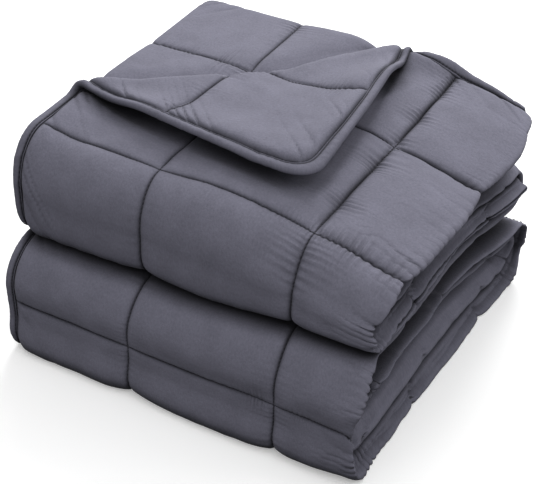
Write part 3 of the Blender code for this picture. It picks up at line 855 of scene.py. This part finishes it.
def face_normals(u, s, side):
    """The cross product of small steps across and along, turned to point away from the cloth."""
    step = 0.0004
    across = face_points(u + step, s, side) - face_points(u - step, s, side)
    along = face_points(u, s + step, side) - face_points(u, s - step, side)
    normal = np.cross(across, along)
    high = face_height(u, s, side)[0]
    out = fold(u, s, high + side * step) - fold(u, s, high)
    normal = normal * np.sign(np.einsum("...k,...k", normal, out))[..., None]
    return normal / np.maximum(np.linalg.norm(normal, axis=-1, keepdims=True), 1e-12)


def quilt_piece(name, across, along):
    """The slab of cloth over a range of u and s: two face grids and the rim between them."""
    u, s = round_corners(*np.meshgrid(across, along, indexing="ij"))
    outer, v, seam = face_height(u, s, 1)
    inner, _, _ = face_height(u, s, -1)
    points = np.concatenate((fold(u, s, outer).reshape(-1, 3), fold(u, s, inner).reshape(-1, 3)))
    normals = np.concatenate([face_normals(u, s, side).reshape(-1, 3) for side in (1, -1)])
    count, shape = u.size, u.shape
    rim = rim_of(*shape)
    ahead = np.roll(rim, -1)
    walls = np.stack((rim, ahead, ahead + count, rim + count), -1)
    faces = np.concatenate((grid_faces(*shape, 0, False), grid_faces(*shape, count, True), walls))
    uv = np.stack((u.ravel(), v.ravel()), -1)
    made = mesh_from(name, points, faces, np.concatenate((uv, uv)), np.tile(seam.ravel(), 2), normals)
    print(f"{name}: {len(points)} points, {2 * len(faces)} triangles")
    return made


# %% [markdown]
# ## The quilted cloth
#
# The blanket is one piece of goods, but one mesh of it would be too heavy, so it
# is made in lengths that meet edge to edge, most of them inside the stack. The
# outer layer takes most of the points: it is the top, both rolls and the back.

# %% Several meshes for one cloth
CUT_TOP, CUT_U, CUT_LAYER_2 = 0.155, LAYER_2 + 0.03, LAYER_3 + 0.012
CUT_SECOND, CUT_THIRD, CUT_BOTTOM = 0.45, 0.70, 1.08
NEAR_FOLD, NEAR_TURN, SHOWN_STEP = 0.03, 0.02, 0.003
SECOND_SHOWS, SECOND_SHOWS_TO = LAYER_2 + 0.08, 0.21
# spans: from, to, step
LEFT_ACROSS = ((0.0, CUT_TOP, 0.0022),)
OUTER_TURN = ((SIDE_RUN, LAYER_2, 0.0011), (LAYER_2, CUT_U, SHOWN_STEP))
SECOND_ACROSS = ((CUT_U, SECOND_SHOWS, 0.006), (SECOND_SHOWS, LEFT_TURN, 0.0020),
                 (LEFT_TURN, CUT_LAYER_2, 0.0015))
SECOND_ALONG = ((0.0, SECOND_SHOWS_TO, 0.0020), (SECOND_SHOWS_TO, CUT_SECOND, 0.0050))
INNER_TURN = ((RIGHT_TURN - NEAR_TURN, RIGHT_TURN, 0.004), (RIGHT_TURN, LAYER_4, 0.0014),
              (LAYER_4, LAYER_4 + NEAR_TURN, 0.004))
LENGTHS = (
    # name, spans along the outer layer, spans along the inner ones, steps across layers 1 to 4
    ("top", ((0.0, TOP_END, 0.0015), (TOP_END, ROLL_END, 0.0012), (ROLL_END, CUT_SECOND, 0.0035)),
     ((0.0, TOP_END, 0.0037), (TOP_END, ROLL_END, 0.0045), (ROLL_END, CUT_SECOND, 0.0045)),
     (0.0014, 0.0040, 0.012, 0.009)),
    ("back", ((CUT_SECOND, SECOND_END, 0.0035), (SECOND_END, THIRD_START, 0.0014),
              (THIRD_START, CUT_THIRD, 0.0035)),
     ((CUT_SECOND, SECOND_END, 0.0045), (SECOND_END, THIRD_START, 0.00032),
      (THIRD_START, CUT_THIRD, 0.0045)),
     (0.010, 0.012, 0.012, 0.0040)),
    ("front", ((CUT_THIRD, THIRD_END, 0.0035), (THIRD_END, BOTTOM_START, 0.0016),
               (BOTTOM_START, CUT_BOTTOM, 0.0040)),
     ((CUT_THIRD, THIRD_END, 0.0045), (THIRD_END, BOTTOM_START, 0.005), (BOTTOM_START, CUT_BOTTOM, 0.005)),
     (0.0022, 0.012, 0.012, 0.010)),
    ("tucked", ((CUT_BOTTOM, BOTTOM_END, 0.0045), (BOTTOM_END, TUCK_START, 0.0026),
                (TUCK_START, END_LONG, 0.0050)),
     ((CUT_BOTTOM, BOTTOM_END, 0.005), (BOTTOM_END, TUCK_START, 0.005), (TUCK_START, END_LONG, 0.0055)),
     (0.0040, 0.012, 0.012, 0.010)),
)


def make_quilt():
    """Each piece with the width and length of flat cloth that it covers, finest where it shows."""
    made, no_lines = [], SEAMS_U[:0]
    lines_u, lines_v = np.append(SEAMS_U, BINDING_WIDE), np.append(SEAMS_V, BINDING_WIDE)
    for name, outer_along, inner_along, (one, two, three, four) in LENGTHS:
        start, end = outer_along[0][0], outer_along[-1][1]
        near, first = SIDE_RUN - NEAR_FOLD, 0.0
        along = stations(outer_along, lines_v if one < SHOWN_STEP else no_lines)
        if start == 0.0:
            across = stations(LEFT_ACROSS, lines_u)
            made.append((quilt_piece("quilt_outer_left", across, along), CUT_TOP, end - start))
            first = CUT_TOP
        across = stations(((first, near, one), (near, SIDE_RUN, min(one, SHOWN_STEP)), *OUTER_TURN), lines_u)
        made.append((quilt_piece(f"quilt_outer_{name}", across, along), CUT_U - first, end - start))
        first = CUT_U
        if start == 0.0:
            across = stations(SECOND_ACROSS, SEAMS_U + SLIP_U)
            along = stations(SECOND_ALONG, SEAMS_V - SLIP_S)
            made.append((quilt_piece("quilt_second_layer", across, along), CUT_LAYER_2 - CUT_U, end - start))
            first = CUT_LAYER_2
        turn = ((first, LEFT_TURN, two), (LEFT_TURN, LAYER_3, 0.0017)) if first < LEFT_TURN else ()
        across = stations((*turn, (max(first, LAYER_3), RIGHT_TURN - NEAR_TURN, three), *INNER_TURN,
                           (LAYER_4 + NEAR_TURN, SIDE_LONG, four)), no_lines)
        piece = quilt_piece(f"quilt_inner_{name}", across, stations(inner_along, no_lines))
        made.append((piece, SIDE_LONG - first, end - start))
    return made


quilt_pieces = make_quilt()

# %% [markdown]
# ## The binding
#
# A strip of the cover cloth is folded over the edge and stitched down. Its
# section is a rounded bead with a stitched ridge beside it, carried round the
# blanket's edge. The strip is cut straight but goes round corners and rolls, so
# it crinkles on a slant.

# %% Carry the binding's section round the edge
CRINKLE, CRINKLE_PITCH, CRINKLE_SLANT = 0.0005, 0.0042, 0.6
CRINKLE_STRONG = (0.6, 0.4, 0.02)
WAVER, WAVER_LONG = 0.0006, 0.02
RIDGE = np.array((
    # distance out from its inner edge, share of the height
    (0.0000, 0.20),
    (0.0001, 0.52),
    (0.0004, 0.68),
    (0.0009, 0.66),
    (0.0013, 0.50),
))
GROOVE_AT, GROOVE_HIGH = BINDING_WIDE - 0.0018, 0.46
BEAD_WIDE, BEAD_FULLNESS = BINDING_WIDE - 0.0014, 0.7
BEAD_ANGLES = np.linspace(0.2, 1.0, 9) * math.pi
FINE_STEP, PLAIN_STEP, CORNER_POINTS = 0.0016, 0.0032, 22
HIDDEN_SIDE_STEP, HIDDEN_END_STEP, FINE_TO = 0.0030, 0.0034, ROLL_END + 0.02


def edge_route():
    """Places and inward directions once round the flat blanket, with rounded corners."""
    r = CORNER_ROUND

    def run(first, last, step):
        return np.linspace(first, last, round((last - first) / step) + 1)

    shown_u = run(r, SIDE_RUN, FINE_STEP)
    across = np.concatenate((shown_u[1:], run(SIDE_RUN, SIDE_LONG - r, PLAIN_STEP)[1:-1]))
    hidden_u = run(r, SIDE_LONG - r, HIDDEN_END_STEP)[1:-1]
    hidden_s = run(r, END_LONG - r, HIDDEN_SIDE_STEP)[1:-1]
    along = np.concatenate((run(r, FINE_TO, FINE_STEP)[1:], run(FINE_TO, THIRD_END, PLAIN_STEP)[1:],
                            run(THIRD_END, BOTTOM_START, FINE_STEP)[1:],
                            run(BOTTOM_START, END_LONG - r, PLAIN_STEP)[1:-1]))
    # each side: its places, the way in, and the centre and first angle of the corner that follows
    sides = ((np.stack((across, 0 * across), -1), (0.0, 1.0), (SIDE_LONG - r, r), -90),
             (np.stack((0 * hidden_s + SIDE_LONG, hidden_s), -1), (-1.0, 0.0),
              (SIDE_LONG - r, END_LONG - r), 0),
             (np.stack((hidden_u[::-1], 0 * hidden_u + END_LONG), -1), (0.0, -1.0), (r, END_LONG - r), 90),
             (np.stack((0 * along, along[::-1]), -1), (1.0, 0.0), (r, r), 180))
    places, inward = [], []
    for straight, facing, centre, first in sides:
        angle = np.radians(np.linspace(first, first + 90, CORNER_POINTS))
        spoke = np.stack((np.cos(angle), np.sin(angle)), -1)
        places += [straight, np.array(centre) + r * spoke]
        inward += [np.tile(facing, (len(straight), 1)), -spoke]
    return np.concatenate(places), np.concatenate(inward)


def binding_section():
    """Half of the section, from its inner edge to its tip: distance in, and height.

    The strip's turned edge is a thin ridge, the stitches pull a groove beside it, and the
    rest is a bead, half of a flattened ellipse.
    """
    bead = BEAD_WIDE / 2 * (1.0 + np.cos(BEAD_ANGLES))
    full = np.maximum(np.sin(BEAD_ANGLES), 0.0) ** BEAD_FULLNESS
    across = np.concatenate((BINDING_WIDE - RIDGE[:, 0], (GROOVE_AT,), bead))
    high = np.concatenate((RIDGE[:, 1], (GROOVE_HIGH,), full))
    return across, high * BINDING_THICK / 2


def make_binding():
    """The section's two halves and its inner wall, as rings round the edge."""
    places, inward = edge_route()
    gaps = np.linalg.norm(np.diff(places, axis=0, append=places[:1]), axis=1)
    along = np.concatenate(([0.0], np.cumsum(gaps[:-1])))
    deep, high = binding_section()
    m = np.concatenate((deep, deep[-2::-1]))
    n = np.concatenate((high, -high[-2::-1]))
    facing = np.where(np.arange(len(m)) < len(deep), 1.0, -1.0)
    slant = along[:, None] - CRINKLE_SLANT * m[None, :] * facing[None, :]
    crease = ripple(slant, CRINKLE_PITCH / 2, 71) * uneven(slant, *CRINKLE_STRONG, 72)
    body = np.clip(np.abs(n) / (BINDING_THICK / 2), 0.0, 1.0)
    n = n[None, :] + CRINKLE * crease * (body * facing)[None, :]
    deeper = m[None, :] + WAVER * ripple(along, WAVER_LONG, 73)[:, None] * (m / BINDING_WIDE)[None, :]
    flat = places[:, None, :] + inward[:, None, :] * deeper[..., None]
    points = fold(flat[..., 0], flat[..., 1], n).reshape(-1, 3)
    rings, count = len(places), len(m)
    i, k = np.meshgrid(np.arange(rings), np.arange(count), indexing="ij")
    ahead, beside = (i + 1) % rings, (k + 1) % count
    faces = np.stack((i * count + k, i * count + beside, ahead * count + beside, ahead * count + k), -1)
    uv = np.stack(np.broadcast_arrays(along[:, None], m[None, :]), -1).reshape(-1, 2)
    # distance from the stitched groove, which the binding's finish reads to paint shade along it
    groove = np.broadcast_to(np.abs(m - GROOVE_AT), (rings, count)).ravel()
    made = mesh_from("edge_binding", points, faces.reshape(-1, 4), uv, groove)
    print(f"edge_binding: {len(points)} points, {2 * rings * count} triangles")
    return made


edge_binding = make_binding()

# %% [markdown]
# ## Stitches
#
# Each stitch is a small bead of thread that lies in its seam. All the stitches
# are one mesh: a little tube of a few faces, repeated by adding arrays. Only the
# seams and the stretches of binding that show have them.

# %% Lay stitches in the seams
STITCH_PITCH, STITCH_LONG = 0.0031, 0.0020
STITCH_FROM, TURNED_TO = 0.012, 0.2
THREAD_RADIUS, THREAD_RISE, TUBE_SIDES = 0.00042, 0.4, 5
OUTWARD, FAR_FROM_SEAM = 0.001, 0.02


def tubes(first, last, out):
    """A five-sided tube with pointed ends from each first point to each last one."""
    run = last - first
    run = run / np.maximum(np.linalg.norm(run, axis=-1, keepdims=True), 1e-9)
    across = np.cross(run, out)
    turn = 2 * math.pi * np.arange(TUBE_SIDES) / TUBE_SIDES
    ring = np.cos(turn)[None, :, None] * out[:, None] + np.sin(turn)[None, :, None] * across[:, None]
    ring = ring * THREAD_RADIUS
    a = (first + (run + THREAD_RISE * out) * THREAD_RADIUS)[:, None] + ring
    b = (last + (THREAD_RISE * out - run) * THREAD_RADIUS)[:, None] + ring
    tips = [(end - out * THREAD_RADIUS)[:, None] for end in (first, last)]
    points = np.concatenate((a, b, *tips), axis=1)
    k = np.arange(TUBE_SIDES)
    beside, tip = (k + 1) % TUBE_SIDES, np.full(TUBE_SIDES, 2 * TUBE_SIDES)
    one = np.concatenate((np.stack((k, beside, beside + TUBE_SIDES), -1),
                          np.stack((k, beside + TUBE_SIDES, k + TUBE_SIDES), -1),
                          np.stack((beside, k, tip), -1),
                          np.stack((k + TUBE_SIDES, beside + TUBE_SIDES, tip + 1), -1)))
    faces = one[None] + (np.arange(len(points)) * points.shape[1])[:, None, None]
    return points.reshape(-1, 3), faces.reshape(-1, 3)


def steps(low, high):
    """Evenly spaced stitches."""
    return np.arange(low, high, STITCH_PITCH)


def seam_rows():
    """Rows of stitches that show: u, s, whether they run along u, and the face."""
    def lengthwise(line, low, high, side):
        s = steps(low, high)
        return np.full_like(s, line), s, 0.0, side

    def crosswise(line, low, high, side):
        u = steps(low, high)
        return u, np.full_like(u, line), 1.0, side

    shown = ((STITCH_FROM, ROLL_END), (THIRD_END + 0.005, BOTTOM_START), (BOTTOM_END, TUCK_START))
    rows = []
    for line in SEAMS_U[SEAMS_U < SIDE_RUN]:
        rows += [lengthwise(line, *span, 1) for span in shown]
        rows.append(lengthwise(line, STITCH_FROM, TURNED_TO, -1))
    rows += [crosswise(line, STITCH_FROM, LAYER_2 - 0.003, 1) for line in SEAMS_V
             if any(low < line < high for low, high in shown)]
    rows.append(crosswise(SEAMS_V[0], STITCH_FROM, TURNED_TO, -1))
    rows.append(crosswise(SEAMS_V[0] - SLIP_S, LAYER_2 + 0.1, LEFT_TURN, -1))
    rows.append(lengthwise(SEAMS_U[3] + SLIP_U, STITCH_FROM, TURNED_TO, -1))
    return rows


def binding_rows():
    """Rows of stitches in the binding's groove, on both faces, where the edge shows."""
    left, left_low = steps(CORNER_ROUND, ROLL_END), steps(THIRD_END, BOTTOM_START)
    back = steps(CORNER_ROUND, SIDE_RUN)
    spoke = CORNER_ROUND - GROOVE_AT
    angle = np.arange(0.0, HALF / 2, STITCH_PITCH / spoke)
    corner = (CORNER_ROUND - spoke * np.cos(angle), CORNER_ROUND - spoke * np.sin(angle))
    rows = []
    for side in (1, -1):
        rows += [(np.full_like(s, GROOVE_AT), s, 0.0, side) for s in (left, left_low)]
        rows.append((back, np.full_like(back, GROOVE_AT), 1.0, side))
        rows.append((*corner, np.sin(angle), side))
    return rows


def make_stitches():
    """Every row of stitches, joined. A row's third value is how far it runs along u, from 0 to 1.

    Round the corner of the binding, s falls as u grows.
    """
    ends = []
    groove = GROOVE_HIGH * BINDING_THICK / 2
    for rows, in_binding in ((seam_rows(), False), (binding_rows(), True)):
        for u, s, slope, side in rows:
            run = STITCH_LONG / 2
            step_u = run * slope
            step_s = run * np.sqrt(1.0 - np.square(slope)) * (-1.0 if np.ndim(slope) else 1.0)
            high = np.full_like(u, side * groove) if in_binding else face_height(u, s, side)[0]
            out = fold(u, s, high + side * OUTWARD) - fold(u, s, high)
            ends.append((fold(u - step_u, s - step_s, high), fold(u + step_u, s + step_s, high),
                         out / np.linalg.norm(out, axis=-1, keepdims=True)))
    first, last, out = (np.concatenate([row[k] for row in ends]) for k in range(3))
    points, faces = tubes(first, last, out)
    made = mesh_from("seam_stitches", points, faces, points[:, :2], np.full(len(points), FAR_FROM_SEAM))
    print(f"seam_stitches: {len(first)} stitches, {len(faces)} triangles")
    return made


seam_stitches = make_stitches()

# %% [markdown]
# ## Finishes
#
# The cover is a brushed microfibre: matt, with a short nap that catches light at
# a grazing angle and lies in faint clouds. Its pattern is laid out on the flat
# blanket's own coordinates, so it bends with the cloth. The colour is a slate
# grey with a little violet.
#
# A finish is a small network of nodes. These helpers add a node, and set each of
# its inputs or link it to another node's output, in one call.

# %% Short cuts for nodes
def feed(tree, node, inputs):
    """Set each named or numbered input, or link it where its value is a node's output."""
    for key, value in inputs.items():
        if isinstance(value, bpy.types.NodeSocket):
            tree.links.new(value, node.inputs[key])
        else:
            node.inputs[key].default_value = value


def add_node(tree, kind, inputs):
    """A new node with its inputs."""
    node = tree.nodes.new("ShaderNode" + kind)
    feed(tree, node, inputs)
    return node


def compute(tree, operation, *values):
    """The result of one operation of arithmetic on one value or two."""
    node = add_node(tree, "Math", dict(enumerate(values)))
    node.operation = operation
    return node.outputs[0]


def remap(tree, value, start, end, low, high):
    """A straight line from `low` at `start` to `high` at `end`."""
    inputs = {"Value": value, "From Min": start, "From Max": end, "To Min": low, "To Max": high}
    return add_node(tree, "MapRange", inputs).outputs["Result"]


def blend(tree, share, first, second):
    """The first colour, going over to the second as the share goes from 0 to 1."""
    node = tree.nodes.new("ShaderNodeMix")
    node.data_type = "RGBA"
    feed(tree, node, {0: share, 6: first, 7: second})
    return node.outputs[2]


def clouds(tree, place, to_metre, detail, stretch):
    """Noise with so many clouds to the metre of flat cloth, drawn out lengthwise by a stretch under 1."""
    spread = add_node(tree, "Mapping", {"Vector": place, "Scale": (to_metre, to_metre * stretch, 1.0)})
    inputs = {"Vector": spread.outputs["Vector"], "Scale": 1.0, "Detail": detail, "Roughness": 0.62}
    return add_node(tree, "TexNoise", inputs).outputs["Fac"]


# %% [markdown]
# ## Brushed cloth
#
# Broad and fine clouds make the colour uneven. Painted shade, a dark line broken
# into dashes at the pitch of the stitches, lies along the bottom of each seam and
# in the binding's groove, where little light reaches; it follows the distance that
# every point keeps as its `seam` value. Little light gets in between the layers,
# so an ambient occlusion node paints shade into the cloth's colour in hollows. Two
# bumps make the nap and the weave.

# %% Brushed cloth
SLATE = (0.150, 0.148, 0.190)
# clouds to the metre, detail, stretch
BROAD, FINE = (40.0, 5.0, 1.0), (650.0, 4.0, 0.8)
NAP, WEAVE = (1100.0, 3.0, 1.0), (420.0, 3.0, 0.8)
FINE_SHARE = 0.55
DIM_AT, PALE_AT, DIM, PALE = 0.30, 0.70, 0.80, 1.22
# painted shade along the seams and the binding's groove: its share of the colour, and the seam distances
# over which it fades
SEAM_PAINTED_SHADE, SEAM_FROM, SEAM_TO = 0.16, 0.0002, 0.0009
DASH, DASH_MEAN = 0.28, 0.62
# painted shade in hollows: its share of the colour, the occlusion's reach, its power and its samples
HOLLOW_PAINTED_SHADE, HOLLOW_REACH, HOLLOW_POWER, HOLLOW_SAMPLES = 0.06, 0.018, 2.6, 8
NAP_STRENGTH, WEAVE_STRENGTH = 0.5, 0.4
CLOTHS = (
    # name, share of the slate colour, height of the nap, height of the weave
    ("brushed slate cover", 1.0, 0.0005, 0.0010),
    ("brushed slate binding", 0.9, 0.0004, 0.0008),
    # the thread is darkened to under half the slate colour as painted shade of the seam pits it lies in
    ("slate thread with painted shade", 0.45, 0.0002, 0.0002),
)


def brushed_cloth(name, colour, nap, weave):
    """Clouds of colour, painted shade in the seams and hollows, and a bump of nap over one of weave."""
    made = bpy.data.materials.new(name)
    made.use_nodes = True
    tree = made.node_tree
    flat = add_node(tree, "UVMap", {})
    flat.uv_map = "flat"
    place = flat.outputs["UV"]

    def shade(share):
        return (*[c * share for c in colour], 1.0)

    grain = add_node(tree, "Mix", {0: FINE_SHARE, 2: clouds(tree, place, *BROAD),
                                   3: clouds(tree, place, *FINE)})
    ramp = add_node(tree, "ValToRGB", {"Fac": grain.outputs[0]})
    for stop, at, share in zip(ramp.color_ramp.elements, (DIM_AT, PALE_AT), (DIM, PALE)):
        stop.position, stop.color = at, shade(share)
    # painted shade: the colour darkens within a millimetre of a seam, in dashes at the stitch pitch
    near_seam = add_node(tree, "Attribute", {})
    near_seam.attribute_name = "seam"
    seam_shade_share = remap(tree, near_seam.outputs["Fac"], SEAM_FROM, SEAM_TO, 1.0, 0.0)
    parts = add_node(tree, "SeparateXYZ", {"Vector": place})
    along = compute(tree, "ADD", parts.outputs["X"], parts.outputs["Y"])
    wave = compute(tree, "SINE", compute(tree, "MULTIPLY", along, 2 * math.pi / STITCH_PITCH))
    dashes = compute(tree, "ADD", compute(tree, "MULTIPLY", wave, DASH), DASH_MEAN)
    dashed_seam_shade = compute(tree, "MULTIPLY", seam_shade_share, dashes)
    with_seam_shade = blend(tree, dashed_seam_shade, ramp.outputs["Color"], shade(SEAM_PAINTED_SHADE))
    # painted shade: ambient occlusion darkens the base colour where little light gets into hollows and
    # between layers
    hollow = add_node(tree, "AmbientOcclusion", {"Distance": HOLLOW_REACH})
    hollow.samples = HOLLOW_SAMPLES
    open_share = compute(tree, "POWER", hollow.outputs["AO"], HOLLOW_POWER)

    fine = add_node(tree, "Bump", {"Height": clouds(tree, place, *NAP), "Strength": NAP_STRENGTH,
                                   "Distance": nap})
    both = add_node(tree, "Bump", {"Height": clouds(tree, place, *WEAVE), "Strength": WEAVE_STRENGTH,
                                   "Distance": weave, "Normal": fine.outputs["Normal"]})
    feed(tree, tree.nodes["Principled BSDF"], {
        "Base Color": blend(tree, open_share, shade(HOLLOW_PAINTED_SHADE), with_seam_shade), "Normal": both.outputs["Normal"],
        "Roughness": 0.9, "Specular IOR Level": 0.2, "Sheen Weight": 0.10, "Sheen Roughness": 0.4,
        "Sheen Tint": (0.78, 0.78, 0.90, 1.0)})
    print(f"{name}: {len(tree.nodes)} nodes")
    return made


cover_cloth, binding_cloth, thread = (
    brushed_cloth(name, tuple(share * c for c in SLATE), nap, weave) for name, share, nap, weave in CLOTHS)
for piece, _, _ in quilt_pieces:
    piece.data.materials.append(cover_cloth)
edge_binding.data.materials.append(binding_cloth)
seam_stitches.data.materials.append(thread)

# %% [markdown]
# ## Who carries what
#
# Every piece rides on the one body of the frame, and the modelled cloth stands
# for the imported solids, which are then hidden.

# %% Ride and replace
for piece in [piece for piece, _, _ in quilt_pieces] + [seam_stitches, edge_binding]:
    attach(piece, "root")
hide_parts("binding")
for piece, wide, long in quilt_pieces:
    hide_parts("quilt")
print(f"{len(quilt_pieces)} lengths of quilt, one binding, one set of stitches")

# %% [markdown]
# ## Studio
#
# The floor is plain and nearly white, and glows a little, as a lit table does in
# a studio. It throws no light back up, so the rolls turn dark towards their
# undersides. The sky is pale above the horizon and nearly dark below it.

# %% Floor and surround
FLOOR_GLOW, FLOOR_BELOW, FLOOR_WIDE = 0.25, 0.0004, 12.0
SKY_BELOW, SKY_ABOVE, HORIZON_LOW, HORIZON_HIGH = 0.10, 0.58, -0.1, 0.15


def lay_floor():
    """A wide, matt, pale plane just under the blanket."""
    bpy.ops.mesh.primitive_plane_add(size=FLOOR_WIDE, location=(0.0, 0.0, -FLOOR_BELOW))
    floor = bpy.context.active_object
    floor.name = "studio_floor"
    floor.visible_diffuse = floor.visible_glossy = False
    paper = bpy.data.materials.new("pale paper")
    paper.use_nodes = True
    feed(paper.node_tree, paper.node_tree.nodes["Principled BSDF"], {
        "Base Color": (0.92, 0.92, 0.92, 1.0), "Roughness": 0.95, "Specular IOR Level": 0.0,
        "Emission Color": (1.0, 1.0, 1.0, 1.0), "Emission Strength": FLOOR_GLOW})
    floor.data.materials.append(paper)
    return floor


def surround():
    """A sky whose strength follows the height at which a ray leaves."""
    world = bpy.data.worlds.new("pale surround")
    bpy.context.scene.world = world
    world.use_nodes = True
    tree = world.node_tree
    place = add_node(tree, "TexCoord", {}).outputs["Generated"]
    height = add_node(tree, "SeparateXYZ", {"Vector": place}).outputs["Z"]
    strength = remap(tree, height, HORIZON_LOW, HORIZON_HIGH, SKY_BELOW, SKY_ABOVE)
    feed(tree, tree.nodes["Background"], {"Color": (1.0, 1.0, 1.0, 1.0), "Strength": strength})


lay_floor()
surround()
print(f"a floor {FLOOR_WIDE:.0f} m wide under a pale sky")

# %% [markdown]
# ## Lights and camera
#
# One large soft light stands high behind the blanket, a weaker one hangs over the
# front, and a small one grazes the folds on the right. The camera looks down on
# the front right corner.

# %% Lights
AIM = Vector((0.0, 0.0, 0.1))
LIGHTS = (
    # name, place, size, watts
    ("key", (-0.35, 1.0, 0.95), 0.9, 17.5),
    ("overhead", (0.35, -0.55, 1.5), 1.2, 8.2),
    ("edge", (1.3, 0.4, 0.8), 0.4, 3.5),
)


def soft_light(name, place, size, power):
    """A square area light that looks from its place to the blanket."""
    lamp = bpy.data.lights.new(name, "AREA")
    lamp.size, lamp.energy = size, power
    made = bpy.data.objects.new(name, lamp)
    bpy.context.scene.collection.objects.link(made)
    made.location = place
    made.rotation_euler = (AIM - Vector(place)).to_track_quat("-Z", "Y").to_euler()


for light in LIGHTS:
    soft_light(*light)
print(f"{len(LIGHTS)} soft lights")

# %% Camera
CAMERA_PLACE = (0.4244, -0.7316, 0.6684)
CAMERA_YAW, CAMERA_PITCH = 30.6, 35.39
CAMERA_FOCUS_PX, PHOTO_WIDE_PX = 1247.3, 533.0


def aim_camera():
    """A camera of the photograph's angle of view: its focal length in pixels over its width."""
    camera = bpy.data.cameras.new("camera")
    camera.lens = CAMERA_FOCUS_PX / PHOTO_WIDE_PX * camera.sensor_width
    seen = bpy.data.objects.new("camera", camera)
    seen.location = CAMERA_PLACE
    seen.rotation_euler = (math.radians(90.0 - CAMERA_PITCH), 0.0, math.radians(CAMERA_YAW))
    bpy.context.scene.collection.objects.link(seen)
    bpy.context.scene.camera = seen
    bpy.context.scene.view_settings.view_transform = "Standard"
    print(f"lens {camera.lens:.1f} mm")


aim_camera()
